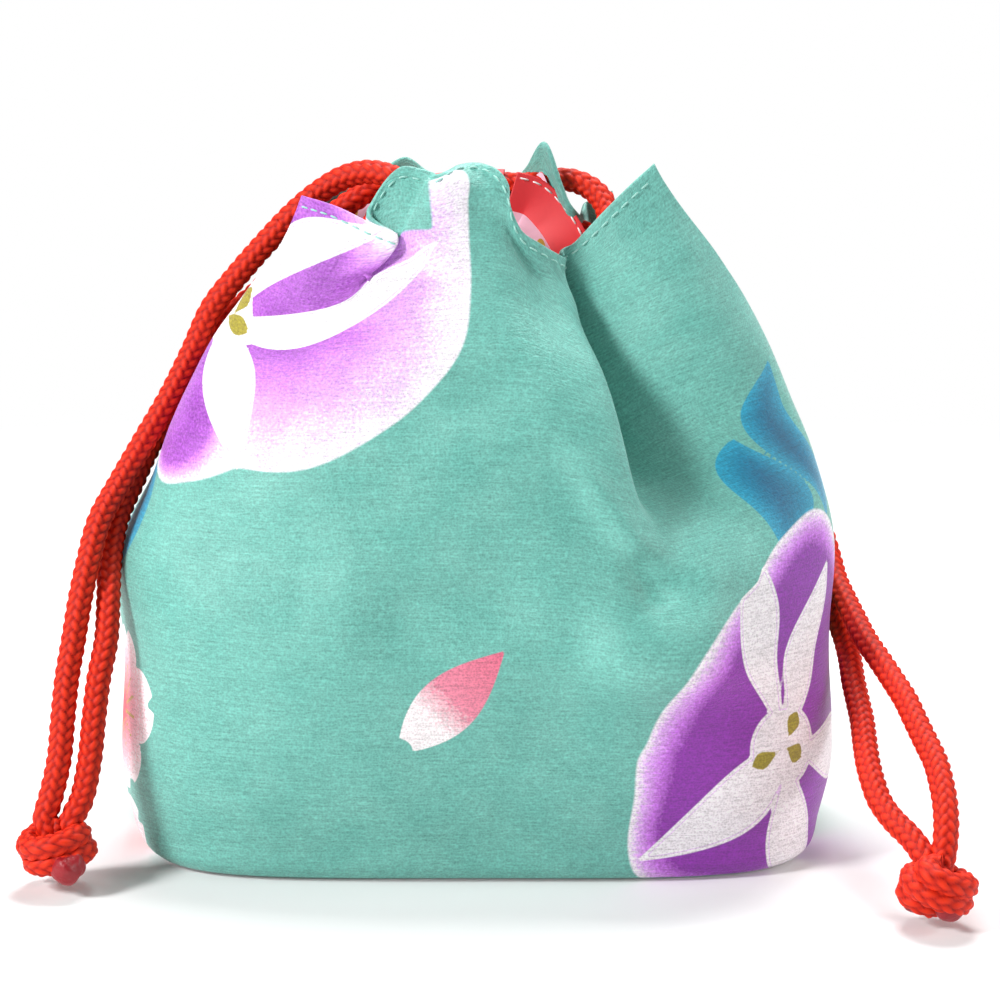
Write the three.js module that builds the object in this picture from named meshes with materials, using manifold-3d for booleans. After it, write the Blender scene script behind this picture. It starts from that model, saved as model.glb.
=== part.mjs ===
// A drawstring bag: a gathered bag of printed crepe with a lining, standing on its bottom panel, and two
// braided cords that run through a casing inside each side of the mouth. Millimetres, +Z up, +X to the
// bag's right as seen from the front, and the front faces -Y. The origin is the middle of the bottom.
import * as THREE from "three";
import { mergeVertices } from "three/addons/utils/BufferGeometryUtils.js";
import Module from "manifold-3d";

// Cloth
const CREPE = 1.2; // outer cloth with its backing
const LINING = 1.0;
const GAP = 0.3; // between sewn layers
const LINING_GAP = 0.7; // the lining hangs a little loose in the crepe

// The bag's own shape. Each ring is a height with the reach to the left, right, front and back there,
// and how square its corners are (2 is an ellipse).
const RINGS = [
  { z: 0, left: 73, right: 74, front: 46, back: 46, square: 4.6 },
  { z: 8, left: 79, right: 79, front: 49, back: 48.5, square: 4.2 },
  { z: 22, left: 82, right: 82, front: 52, back: 51, square: 3.5 },
  { z: 45, left: 81.5, right: 81.5, front: 53.5, back: 53.5, square: 3.0 },
  { z: 67, left: 82.6, right: 80.8, front: 52.5, back: 52, square: 2.7 },
  { z: 83, left: 76, right: 77.5, front: 49, back: 49, square: 2.5 },
  { z: 98, left: 71.5, right: 73.5, front: 45, back: 44.5, square: 2.4 },
  { z: 114, left: 65, right: 68, front: 38, back: 37, square: 2.3 },
  { z: 130, left: 55, right: 59.5, front: 28, back: 30.5, square: 2.2 },
  { z: 140, left: 48, right: 53, front: 23.5, back: 25.5, square: 2.2 },
  { z: 148, left: 43.5, right: 48, front: 22, back: 24, square: 2.2 },
  { z: 158, left: 40, right: 42, front: 22, back: 24, square: 2.2 },
];

// The folds that gather the cloth into the neck. Each runs from a foot low on the bag up to the hem, and
// bearings are in degrees round the bag from the middle of the front, right-handed ones positive.
const FOLDS = [
  { name: "deep front valley", foot: 74, footBearing: 38, hemBearing: 68, depth: 15, spread: 9.5 },
  { name: "left front valley", foot: 116, footBearing: -40, hemBearing: -52, depth: 4.5, spread: 8 },
  { name: "right side under the cords", foot: 78, footBearing: 98, hemBearing: 98, depth: 11, spread: 15 },
  { name: "middle back valley", foot: 84, footBearing: 172, hemBearing: 164, depth: 2.5, spread: 9 },
  { name: "left back valley", foot: 78, footBearing: -150, hemBearing: -146, depth: 4, spread: 9 },
  { name: "left side under the cords", foot: 76, footBearing: -98, hemBearing: -98, depth: 9, spread: 14 },
];
const FOLD_RISE = 34; // height over which a fold reaches its full depth
const HEM_LEVEL = 150; // height at which a fold has its hem bearing

// The hem's height round the bag, as bearing and height
const FRONT_HEM = [
  [-82, 148.5], [-70, 147.5], [-60, 145], [-50, 141], [-36, 153.5], [-20, 156], [6, 156], [16, 153],
  [24, 142], [38, 137], [52, 135.5], [62, 139], [72, 147], [82, 155.5],
];
const BACK_HEM = [
  [98, 151], [112, 148], [125, 146], [144, 158], [158, 152], [180, 153.5], [200, 155.5], [220, 153],
  [240, 149], [262, 149],
];

// The side slits, from the foot of the mouth up to the hem
const MOUTH_FOOT = 106;
const SLIT_FRONT = 10.5; // from the bag's middle plane to the front edge of each slit, at the hem
const SLIT_BACK = 17;
const SLIT_TOP = 148; // height where the slit has its full width

// Casings: a channel with a cord above and a cord below, sewn inside each side of the mouth. Each run is
// the middle of its channel from left to right.
const CASING_WALL = 0.8;
const CASING_CLEAR = 0.35; // between cord and casing
const FRONT_CASING_RUN = [
  [-11, -13.7, 144], [-5, -13.9, 142.6], [0, -14, 140.2], [5, -14, 136.8], [9, -13.6, 133],
];
const BACK_CASING_RUN = [
  [-11, 12.8, 146], [-5, 13.6, 147], [1, 14, 147.6], [7, 13.9, 147.6], [12, 13.6, 147.2],
];
// The back casing's strip goes on past its channel's right-hand end, flat, and hangs in the fold
const STRIP_END_RUN = [
  [8, 9.9, 147.8], [13, 9.8, 146.2], [17, 8.2, 142.5], [20.5, 5.4, 137.5], [23, 3.6, 131.5],
];
const STRIP_WIDTH = 9.4;

// Thread
const THREAD = 0.7; // across a row of stitches
const THREAD_THICK = 0.4;
const THREAD_GAP = 0.95; // off the cloth
const HEM_STITCH_DROP = 2.4; // from the hem down to its row of stitches
const CASING_STITCH = 2; // from a casing's middle up to its row of stitches

// Cords. Each is one braided cord: it leaves by the slit on its own side, goes through both casings in its
// lane, turns round at the far slit, and its two runs come down the bag's side to one knot. A route is a
// list of points along the cord's middle, outside the casings: left_front is the left cord's front run.
const CORD = 5.6; // diameter
const CORD_SIDES = 8;
const JOIN = 0.5; // between two stretches of one cord
const LANE = 3; // from a casing's middle to each of its two cords
const EXITS = {
  left_front: [
    [-14, -13, 149.6], [-18, -11, 152.4], [-23.5, -8, 153.6], [-29.5, -5, 152.3], [-36, -2.2, 148.4],
  ],
  left_back: [
    [-14.5, 13, 149.7], [-18.5, 10.8, 150], [-23.5, 8, 148.9], [-29, 7.2, 145.6], [-35, 7.4, 140.8],
  ],
  right_front: [
    [11, -13, 127.2], [15.5, -10.6, 124.4], [21.5, -6.8, 123.6], [28.5, -3.8, 125.2], [35, -2.2, 127],
  ],
  right_back: [
    [16.5, 13, 142.6], [22, 10.9, 139.8], [27.5, 8.4, 136.6], [32.5, 6.6, 133.8], [38, 5.8, 132],
  ],
};
const TURNS = {
  left: [
    [14.3, -12.4, 132.8], [19.4, -9.2, 131.6], [25, -4.6, 133.6], [29, 0.5, 138.2], [30, 6.4, 143.8],
    [26.6, 11.2, 148.2], [21, 13.4, 150.2],
  ],
  right: [
    [-15.2, -13, 141.5], [-19.4, -10.2, 141.6], [-22.2, -5.6, 141.8], [-23.2, 0, 142], [-22.2, 5.8, 142.3],
    [-19.2, 10.6, 142.6], [-15, 13.2, 142.8],
  ],
};
const LEADS = {
  left_front: [[-36, -2.2, 148.4], [-41.5, -0.8, 143.8], [-46.8, 0, 138.4]],
  left_back: [[-35, 7.4, 140.8], [-39.5, 6.8, 136.4], [-44, 6, 131.7]],
  right_front: [[35, -2.2, 127], [42.5, -1, 127.4], [50, 0.2, 125.6]],
  right_back: [[38, 5.8, 132], [43.4, 4.9, 131.2], [48.8, 5, 129]],
};
const TAILS = {
  left_front: [
    [-46.8, 0, 138.4], [-54.8, 0.3, 129.5], [-60.8, 0, 121.9], [-65.4, -1.5, 112], [-70.4, -5, 102],
    [-75.8, -9.5, 92.8], [-80.6, -15, 84.5], [-84.8, -21.4, 76.7], [-86.8, -26.5, 68.5], [-88.3, -31, 60.3],
    [-89.4, -35, 52.1], [-90.6, -38.5, 43.9], [-91.2, -42, 35.7], [-91.8, -45, 27.4], [-93.6, -48, 19],
    [-94.5, -49.2, 15.6],
  ],
  left_back: [
    [-44, 6, 131.7], [-50, 5.4, 125.4], [-58.4, 5.2, 117.8], [-61.8, 4.6, 110.5], [-66, 3.6, 104],
    [-70, 1.5, 98.3], [-75, -3, 91.2], [-78.6, -9, 83.4], [-81.8, -15.3, 75.2], [-82.7, -21.6, 67],
    [-82.4, -28, 59.6], [-82.4, -33, 51.7], [-83.7, -37.5, 43.6], [-84.5, -41, 35.4], [-85.2, -44, 27.1],
    [-86.8, -46.8, 19], [-88.5, -48.8, 15.6],
  ],
  right_front: [
    [50, 0.2, 125.6], [55.6, 1.2, 122.4], [60.2, 3.4, 117], [62, 7, 111], [64.4, 10.6, 105],
    [68.6, 13.4, 99], [72.8, 16, 92.8], [76, 18, 86.6], [78.3, 19.4, 80.4], [80.1, 19.8, 74.6],
    [81.3, 18.8, 69.6], [82.8, 15.4, 64.6], [83.9, 11, 60.3], [84.6, 5, 56.8], [86, -2, 53.6],
    [87.6, -9, 50.4], [89.2, -16, 47.4], [91.5, -23, 44.4], [93.7, -29.5, 41.4], [95.7, -36, 38.5],
    [97, -42, 35.6], [98.4, -48, 32.6], [99.7, -54, 29.8], [100.2, -59.5, 26.8], [100.4, -64, 23.7],
    [100.2, -67.8, 20.4], [99.7, -70.6, 17.2], [99.2, -72.2, 14.7],
  ],
  right_back: [
    [48.8, 5, 129], [53.8, 6.8, 125.8], [56.8, 11, 120.6], [58, 15.2, 114.8], [60, 19, 108.8],
    [63.9, 22.3, 102.4], [67.1, 24.9, 96], [69.8, 26.5, 89.6], [73.3, 27.5, 83.2], [76.2, 27.5, 76.8],
    [78.7, 26.4, 70.6], [80.7, 24, 64.8], [82.4, 19.8, 59.6], [83.5, 15, 55.6], [84.2, 10, 52.1],
    [84.7, 5, 48.8], [86, -3, 44.3], [86.4, -10, 41.1], [86.3, -17, 38.2], [86.5, -24, 35.3],
    [86.7, -31, 32.5], [86.5, -37.5, 29.7], [86.4, -44, 26.8], [86.8, -50, 24], [87.8, -55.5, 21.1],
    [90, -61, 18.6], [92.8, -66, 16.6], [94.9, -70.2, 14.3],
  ],
};
const LOOP_STEPS = 30;
const TAIL_STEPS = { left: 13, right: 18 };

// Knots
const KNOTS = { left: [-91.8, -51], right: [97.3, -74.9] };
const KNOT_WIDE = 12.6;
const KNOT_TALL = 15.2;
const WRAP_REACH = 4.4; // from the knot's middle to the middle of the turn of cord round it
const WRAP_LEAN = 24; // degrees
const END_LENGTH = 3.6; // what shows of each fused cord end below its knot
const END_WAYS = {
  left: [[-0.06, -0.93, -0.36], [0.62, -0.7, -0.36]],
  right: [[0.35, -0.86, -0.36], [-0.33, -0.87, -0.36]],
};

const rad = (degrees) => (degrees * Math.PI) / 180;
const smooth = (t) => {
  const s = Math.min(Math.max(t, 0), 1);
  return s * s * (3 - 2 * s);
};

// A value read off rows of numbers, along a smooth curve through them
function along(rows, at, key, value) {
  const last = rows.length - 1;
  let i = 0;
  while (i < last - 1 && at > rows[i + 1][key]) i += 1;
  const slope = (k) => {
    const a = rows[Math.max(k - 1, 0)];
    const b = rows[Math.min(k + 1, last)];
    return (b[value] - a[value]) / (b[key] - a[key]);
  };
  const [from, to] = [rows[i], rows[i + 1]];
  const span = to[key] - from[key];
  const t = Math.min(Math.max((at - from[key]) / span, 0), 1);
  const [t2, t3] = [t * t, t * t * t];
  return (
    from[value] * (2 * t3 - 3 * t2 + 1) +
    to[value] * (3 * t2 - 2 * t3) +
    span * (slope(i) * (t3 - 2 * t2 + t) + slope(i + 1) * (t3 - t2))
  );
}

// A point of the outer cloth at a bearing and a height, moved inwards by depth across the cloth
function ringPoint(bearing, z) {
  const [s, c] = [Math.sin(rad(bearing)), Math.cos(rad(bearing))];
  const side = along(RINGS, z, "z", s < 0 ? "left" : "right");
  const reach = along(RINGS, z, "z", c < 0 ? "back" : "front");
  const n = along(RINGS, z, "z", "square");
  let r = (Math.abs(s / side) ** n + Math.abs(c / reach) ** n) ** (-1 / n);
  for (const fold of FOLDS) {
    const up = smooth((z - fold.foot) / FOLD_RISE);
    const turn = (fold.hemBearing - fold.footBearing) * ((z - fold.foot) / (HEM_LEVEL - fold.foot));
    const off = ((bearing - fold.footBearing - turn + 540) % 360) - 180;
    r -= fold.depth * up * Math.exp(-((off / fold.spread) ** 2));
  }
  return [r * s, -r * c];
}
function clothPoint(bearing, z, depth) {
  const [x, y] = ringPoint(bearing, z);
  const [xa, ya] = ringPoint(bearing - 0.5, z);
  const [xb, yb] = ringPoint(bearing + 0.5, z);
  const length = Math.hypot(xb - xa, yb - ya);
  return new THREE.Vector3(x - (depth * (yb - ya)) / length, y + (depth * (xb - xa)) / length, z);
}

// A closed wall from a grid of points on its outer face and one on its inner face
function wall(columns, rows, outside, inside) {
  const points = [];
  for (const face of [outside, inside])
    for (let i = 0; i <= columns; i += 1)
      for (let j = 0; j <= rows; j += 1) points.push(face(i / columns, j / rows));
  const half = (columns + 1) * (rows + 1);
  const id = (face, i, j) => face * half + i * (rows + 1) + j;
  const index = [];
  const quad = (a, b, c, d) => index.push(a, b, c, a, c, d);
  for (let i = 0; i < columns; i += 1)
    for (let j = 0; j < rows; j += 1) {
      quad(id(0, i, j), id(0, i + 1, j), id(0, i + 1, j + 1), id(0, i, j + 1));
      quad(id(1, i, j), id(1, i, j + 1), id(1, i + 1, j + 1), id(1, i + 1, j));
    }
  for (let i = 0; i < columns; i += 1) {
    quad(id(1, i, 0), id(1, i + 1, 0), id(0, i + 1, 0), id(0, i, 0));
    quad(id(0, i, rows), id(0, i + 1, rows), id(1, i + 1, rows), id(1, i, rows));
  }
  for (let j = 0; j < rows; j += 1) {
    quad(id(0, 0, j), id(0, 0, j + 1), id(1, 0, j + 1), id(1, 0, j));
    quad(id(1, columns, j), id(1, columns, j + 1), id(0, columns, j + 1), id(0, columns, j));
  }
  const geometry = new THREE.BufferGeometry().setFromPoints(points);
  geometry.setIndex(index);
  geometry.computeVertexNormals();
  return geometry;
}

const group = new THREE.Group();
function add(name, geometry, color, roughness = 0.9) {
  const material = new THREE.MeshStandardMaterial({ color, roughness, metalness: 0 });
  const mesh = new THREE.Mesh(geometry, material);
  mesh.name = name;
  group.add(mesh);
}

const WALL_COLUMNS = 36;
const WALL_ROWS = 7;
const BASE_TOP = CREPE + GAP;
const LINING_DEPTH = CREPE + LINING_GAP;
const SEAM = 0.16; // half the gap between the front and back panels at a side seam

// How far each panel stops short of the side, in degrees
function slitAngle(z, side, width) {
  const open = smooth((z - MOUTH_FOOT) / (SLIT_TOP - MOUTH_FOOT)) ** 0.6;
  const reach = along(RINGS, z, "z", side);
  return (Math.asin((SEAM + width * open) / reach) * 180) / Math.PI;
}
function bearingAt(front, u, z) {
  const width = front ? SLIT_FRONT : SLIT_BACK;
  const left = slitAngle(z, "left", width);
  const right = slitAngle(z, "right", width);
  return front ? -90 + left + u * (180 - left - right) : 90 + right + u * (180 - left - right);
}
function hemHeight(front, bearing) {
  return front ? along(FRONT_HEM, bearing, 0, 1) : along(BACK_HEM, bearing, 0, 1);
}

function lowerWall(front, depth, thickness) {
  const point = (d) => (u, v) => {
    const z = BASE_TOP + v * (MOUTH_FOOT - JOIN / 2 - BASE_TOP);
    return clothPoint(bearingAt(front, u, z), z, d);
  };
  return wall(WALL_COLUMNS, WALL_ROWS, point(depth), point(depth + thickness));
}
function mouthWall(front, depth, thickness, drop) {
  const point = (d) => (u, v) => {
    const foot = MOUTH_FOOT + JOIN / 2;
    const top = hemHeight(front, bearingAt(front, u, SLIT_TOP));
    const z = foot + v * (top - foot) - (v === 1 ? drop : 0);
    return clothPoint(bearingAt(front, u, z), z, d);
  };
  return wall(WALL_COLUMNS, WALL_ROWS, point(depth), point(depth + thickness));
}

const MINT = 0x7cc9b8;
const PINK = 0xf7c6da;
const RED = 0xe8353c;
const CORD_RED = 0xf0391f;
const FUSED = 0x8f1018;
const WHITE = 0xf4f2f2;
const LINING_DROP = 3;

for (const front of [true, false]) {
  const side = front ? "front" : "back";
  add(side + "_wall", lowerWall(front, 0, CREPE), MINT);
  add(side + "_mouth", mouthWall(front, 0, CREPE, 0), MINT);
  add(side + "_lining", lowerWall(front, LINING_DEPTH, LINING), PINK);
  add(side + "_mouth_lining", mouthWall(front, LINING_DEPTH, LINING, LINING_DROP), PINK);
}

// A flat panel with the outline of the bag's foot, taken in by inset
function bottom(inset, z, thickness) {
  const outline = [];
  for (let k = 0; k < 56; k += 1) {
    const p = clothPoint(-180 + (360 * k) / 56, z, inset);
    outline.push(new THREE.Vector2(p.x, p.y));
  }
  const panel = new THREE.ExtrudeGeometry(new THREE.Shape(outline), { depth: thickness, bevelEnabled: false });
  return panel.translate(0, 0, z);
}
add("bottom_panel", bottom(0, 0, CREPE), MINT);
add("lining_bottom", bottom(LINING_DEPTH + LINING + GAP, BASE_TOP, LINING), PINK);

const wasm = await Module();
wasm.setup();

// A geometry made into a solid, and a solid made into a geometry
function solid(geometry) {
  const bare = geometry.index ? geometry.toNonIndexed() : geometry.clone();
  bare.deleteAttribute("normal");
  bare.deleteAttribute("uv");
  const merged = mergeVertices(bare, 1e-4);
  const vertProperties = merged.attributes.position.array;
  const triVerts = new Uint32Array(merged.index.array);
  return new wasm.Manifold(new wasm.Mesh({ numProp: 3, vertProperties, triVerts }));
}
function geometryOf(made) {
  const mesh = made.getMesh();
  const points = [];
  for (let i = 0; i < mesh.vertProperties.length; i += mesh.numProp)
    points.push(new THREE.Vector3().fromArray(mesh.vertProperties, i));
  const geometry = new THREE.BufferGeometry().setFromPoints(points);
  geometry.setIndex(Array.from(mesh.triVerts));
  geometry.computeVertexNormals();
  return geometry;
}

// The frames along a run: its points, and at each the way across the cloth and the way up it
function framesOf(run) {
  const points = run.map((p) => new THREE.Vector3(...p));
  return points.map((origin, i) => {
    const from = points[Math.max(i - 1, 0)];
    const to = points[Math.min(i + 1, points.length - 1)];
    const ahead = to.clone().sub(from).normalize();
    const side = new THREE.Vector3(0, 1, 0);
    side.addScaledVector(ahead, -side.dot(ahead)).normalize();
    return { origin, side, up: ahead.clone().cross(side) };
  });
}
const placed = (frame, across, up) =>
  frame.origin.clone().addScaledVector(frame.side, across).addScaledVector(frame.up, up);

// A solid swept along frames: its outer section, and the section of its bore where it has one. A section is
// a list of points across and up, anticlockwise.
function swept(frames, outer, bore) {
  const sections = bore ? [outer, bore] : [outer];
  const count = outer.length;
  const points = [];
  for (const frame of frames)
    for (const [across, up] of sections.flat()) points.push(placed(frame, across, up));
  const index = [];
  const id = (i, ring, k) => (i * sections.length + ring) * count + (k % count);
  const quad = (a, b, c, d) => index.push(a, b, c, a, c, d);
  const last = frames.length - 1;
  for (let k = 0; k < count; k += 1) {
    for (let i = 0; i < last; i += 1) {
      quad(id(i, 0, k), id(i, 0, k + 1), id(i + 1, 0, k + 1), id(i + 1, 0, k));
      if (bore) quad(id(i, 1, k), id(i + 1, 1, k), id(i + 1, 1, k + 1), id(i, 1, k + 1));
    }
    if (bore) {
      quad(id(0, 0, k), id(0, 1, k), id(0, 1, k + 1), id(0, 0, k + 1));
      quad(id(last, 0, k), id(last, 0, k + 1), id(last, 1, k + 1), id(last, 1, k));
    }
  }
  if (!bore)
    for (let k = 1; k + 1 < count; k += 1) {
      index.push(id(0, 0, 0), id(0, 0, k + 1), id(0, 0, k));
      index.push(id(last, 0, 0), id(last, 0, k), id(last, 0, k + 1));
    }
  const geometry = new THREE.BufferGeometry().setFromPoints(points);
  geometry.setIndex(index);
  geometry.computeVertexNormals();
  return geometry;
}

// Sections: a slot with round ends, and an oblong whose middle is at a height
function slot(halfThick, halfTall) {
  const corners = 4;
  const section = [];
  for (const end of [1, -1])
    for (let k = 0; k <= 2 * corners; k += 1) {
      const angle = (Math.PI * k) / (2 * corners) + (end < 0 ? Math.PI : 0);
      const up = Math.sin(angle) * halfThick + end * (halfTall - halfThick);
      section.push([Math.cos(angle) * halfThick, up]);
    }
  return section;
}
function oblong(across, up, thick, tall) {
  const [x, y] = [thick / 2, tall / 2];
  return [[x, -y], [x, y], [-x, y], [-x, -y]].map(([u, v]) => [across + u, up + v]);
}

// A tube along part of a curve, from one of its points to another, cut short by start and end
function tube(curve, from, to, steps, start, end) {
  const spans = curve.points.length - 1;
  const fine = [];
  for (let i = 0; i <= 80; i += 1) fine.push(curve.getPoint((from + ((to - from) * i) / 80) / spans));
  const stretch = new THREE.CatmullRomCurve3(fine, false, "centripetal");
  const length = stretch.getLength();
  const cut = [];
  for (let i = 0; i <= steps * 3; i += 1) {
    const run = start + ((length - start - end) * i) / (steps * 3);
    cut.push(stretch.getPointAt(Math.min(run / length, 1)));
  }
  const section = new THREE.Shape();
  for (let k = 0; k < CORD_SIDES; k += 1) {
    const angle = (2 * Math.PI * k) / CORD_SIDES;
    const corner = [(Math.cos(angle) * CORD) / 2, (Math.sin(angle) * CORD) / 2];
    if (k === 0) section.moveTo(...corner);
    else section.lineTo(...corner);
  }
  const extrudePath = new THREE.CatmullRomCurve3(cut, false, "centripetal");
  return new THREE.ExtrudeGeometry(section, { steps, extrudePath, bevelEnabled: false, curveSegments: 1 });
}
const vectors = (list) => list.map((p) => new THREE.Vector3(...p));

// Casings, with the back one's strip end, and the row of stitches on the mouth side of each
const boreThick = CORD / 2 + CASING_CLEAR;
const boreTall = boreThick + LANE;
const casingThick = boreThick + CASING_WALL;
const frames = { front: framesOf(FRONT_CASING_RUN), back: framesOf(BACK_CASING_RUN) };
for (const side of ["front", "back"]) {
  const outer = slot(casingThick, boreTall + CASING_WALL);
  let casing = solid(swept(frames[side], outer, slot(boreThick, boreTall)));
  const toMouth = side === "front" ? 1 : -1;
  const across = toMouth * (casingThick + THREAD_GAP + THREAD_THICK / 2);
  const row = oblong(across, CASING_STITCH, THREAD_THICK, THREAD);
  if (side === "back")
    casing = casing.add(solid(swept(framesOf(STRIP_END_RUN), oblong(0, 0, CASING_WALL, STRIP_WIDTH))));
  add(side + "_casing", geometryOf(casing), RED);
  add(side + "_casing_thread", swept(frames[side], row), WHITE, 0.7);
}

// The row of stitches under each hem
for (const front of [true, false]) {
  const point = (depth) => (u, v) => {
    const hem = hemHeight(front, bearingAt(front, u, SLIT_TOP));
    const z = hem - HEM_STITCH_DROP + (v - 0.5) * THREAD;
    return clothPoint(bearingAt(front, u, z), z, depth);
  };
  const geometry = wall(WALL_COLUMNS, 1, point(-THREAD_GAP - THREAD_THICK), point(-THREAD_GAP));
  add((front ? "front" : "back") + "_hem_thread", geometry, WHITE, 0.7);
}

// Both cords, each with its knot and its two fused ends
for (const side of ["left", "right"]) {
  const lane = side === "left" ? LANE : -LANE;
  const inLane = (which) => frames[which].map((frame) => placed(frame, 0, lane));
  const lanes = { front: inLane("front"), back: inLane("back") };
  lanes[side === "left" ? "back" : "front"].reverse();
  const downBag = (end) => vectors([...LEADS[side + end].slice(1), ...TAILS[side + end].slice(1)]);
  const up = downBag("_front").reverse();
  const round = [
    ...vectors(EXITS[side + "_front"]).reverse(), ...lanes.front, ...vectors(TURNS[side]), ...lanes.back,
    ...vectors(EXITS[side + "_back"]),
  ];
  const curve = new THREE.CatmullRomCurve3([...up, ...round, ...downBag("_back")], false, "centripetal");
  const [loopStart, loopEnd] = [up.length, up.length + round.length - 1];
  const leadSpans = LEADS[side + "_front"].length - 1;
  const last = curve.points.length - 1;
  const half = JOIN / 2;
  add(side + "_cord_loop", tube(curve, loopStart, loopEnd, LOOP_STEPS, half, half), CORD_RED);
  const leadEnds = [loopStart - leadSpans, loopEnd + leadSpans];
  add(side + "_front_cord_lead", tube(curve, leadEnds[0], loopStart, 2, half, half), CORD_RED);
  add(side + "_back_cord_lead", tube(curve, loopEnd, leadEnds[1], 2, half, half), CORD_RED);
  add(side + "_front_cord_tail", tube(curve, 0, leadEnds[0], TAIL_STEPS[side], 0, half), CORD_RED);
  add(side + "_back_cord_tail", tube(curve, leadEnds[1], last, TAIL_STEPS[side], half, 0), CORD_RED);

  const middle = new THREE.Vector3(...KNOTS[side], KNOT_TALL / 2);
  const ball = new THREE.SphereGeometry(1, 14, 10).rotateX(Math.PI / 2);
  let knot = solid(ball.scale(KNOT_WIDE / 2, KNOT_WIDE / 2, KNOT_TALL / 2));
  for (const lean of [WRAP_LEAN, -WRAP_LEAN]) {
    const wrap = new THREE.TorusGeometry(WRAP_REACH, CORD / 2, CORD_SIDES, 16);
    knot = knot.add(solid(wrap.rotateX(rad(lean))));
  }
  add(side + "_knot", geometryOf(knot).translate(...middle), CORD_RED);
  END_WAYS[side].forEach((way, k) => {
    const direction = new THREE.Vector3(...way).normalize();
    const from = middle.clone().addScaledVector(direction, WRAP_REACH + CORD / 2 + GAP);
    const stub = new THREE.CylinderGeometry(CORD / 2 - 0.4, CORD / 2, END_LENGTH, CORD_SIDES);
    stub.translate(0, END_LENGTH / 2, 0);
    stub.applyQuaternion(new THREE.Quaternion().setFromUnitVectors(new THREE.Vector3(0, 1, 0), direction));
    add(side + "_cord_end_" + (k + 1), stub.translate(...from), FUSED, 0.4);
  });
}

export default group;
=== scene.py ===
# A small drawstring bag of printed mint crepe with a pink lining, drawn in by two braided cords.
# Metres, +Z up, +X to the bag's right as seen from the front, and the front faces -Y.
import bpy
import numpy as np
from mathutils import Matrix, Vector


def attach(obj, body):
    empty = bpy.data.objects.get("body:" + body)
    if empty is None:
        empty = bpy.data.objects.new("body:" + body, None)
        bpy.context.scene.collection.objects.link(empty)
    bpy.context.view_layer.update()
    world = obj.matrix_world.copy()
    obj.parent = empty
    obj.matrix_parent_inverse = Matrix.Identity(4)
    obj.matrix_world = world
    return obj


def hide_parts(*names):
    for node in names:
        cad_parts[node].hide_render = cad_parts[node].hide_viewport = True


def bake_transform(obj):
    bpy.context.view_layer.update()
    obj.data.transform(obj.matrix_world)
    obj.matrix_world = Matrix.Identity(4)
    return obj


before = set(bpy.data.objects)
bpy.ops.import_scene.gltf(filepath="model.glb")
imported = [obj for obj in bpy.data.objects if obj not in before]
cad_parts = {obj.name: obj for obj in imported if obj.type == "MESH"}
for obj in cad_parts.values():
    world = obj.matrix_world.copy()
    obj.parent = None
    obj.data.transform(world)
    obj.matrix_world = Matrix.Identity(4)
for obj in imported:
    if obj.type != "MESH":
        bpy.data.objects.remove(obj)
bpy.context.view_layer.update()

# Outer bottom panel
# The flat oblong that the bag stands on: mint crepe with a stiff backing, sewn to the walls all round.
# The walls' foot comes down round its edge, so that only the underside shows.

# The bag's own shape: height, then the reach to the left, right, front and back there, and how square
# its corners are (2 is an ellipse)
RINGS = [
    (0, 0.073, 0.074, 0.0465, 0.046, 4.6),
    (0.003, 0.0768, 0.0775, 0.0485, 0.0478, 4.5),
    (0.008, 0.079, 0.079, 0.049, 0.0485, 4.2),
    (0.022, 0.082, 0.082, 0.052, 0.051, 3.5),
    (0.045, 0.0815, 0.0815, 0.0535, 0.0535, 3.0),
    (0.067, 0.0826, 0.0808, 0.0525, 0.052, 2.7),
    (0.083, 0.076, 0.0775, 0.049, 0.049, 2.5),
    (0.098, 0.0715, 0.0735, 0.045, 0.0445, 2.4),
    (0.114, 0.065, 0.068, 0.038, 0.037, 2.3),
    (0.13, 0.055, 0.0605, 0.028, 0.0305, 2.2),
    (0.14, 0.048, 0.056, 0.0235, 0.0255, 2.2),
    (0.148, 0.0435, 0.0525, 0.022, 0.024, 2.2),
    (0.158, 0.04, 0.0475, 0.022, 0.024, 2.2),
]
# The folds that gather the cloth into the neck: height of the foot, bearing there and at the hem in
# degrees round the bag from the middle of the front, depth, and spread in degrees to the left and right
FOLDS = [
    (0.069, 45, 55, 0.0250, 6.0, 13),  # deep front valley
    (0.060, 64, 51, 0.0080, 15, 13),  # slope down to it
    (0.078, 98, 98, 0.0110, 8, 15),  # right side under the cords
    (0.084, 172, 164, 0.0025, 9, 9),  # middle back valley
    (0.078, -150, -146, 0.0040, 9, 9),  # left back valley
    (0.076, -98, -98, 0.0090, 14, 14),  # left side under the cords
]
FOLD_RISE = 0.034  # height over which a fold grows to its whole depth
HEM_LEVEL = 0.150
# Where the cloth stands out between the folds: bearing, height, spread in degrees, spread in height, and
# how far out
BULGES = [
    (84, 0.078, 12, 0.020, 0.0025),  # right side, beside the slope
    (40, 0.0500, 15, 0.0085, 0.0068),  # swell below the foot of the deep valley
]


def smooth(t):
    """0 below 0, 1 above 1, and an S curve between them."""
    t = np.clip(t, 0, 1)
    return t * t * (3 - 2 * t)


def along(rows, at, column=1):
    """A column of rows read at a position in their first column, on a cubic curve through all of them."""
    rows = np.asarray(rows, float)
    key, value = rows[:, 0], rows[:, column]
    before, after = np.r_[0, : len(key) - 1], np.r_[1 : len(key), len(key) - 1]
    slope = (value[after] - value[before]) / (key[after] - key[before])
    i = np.clip(np.searchsorted(key, at, side="left") - 1, 0, len(key) - 2)
    span = key[i + 1] - key[i]
    t = np.clip((at - key[i]) / span, 0, 1)
    bend = slope[i] * (t**3 - 2 * t**2 + t) + slope[i + 1] * (t**3 - t**2)
    return value[i] * (2 * t**3 - 3 * t**2 + 1) + value[i + 1] * (3 * t**2 - 2 * t**3) + span * bend


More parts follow.
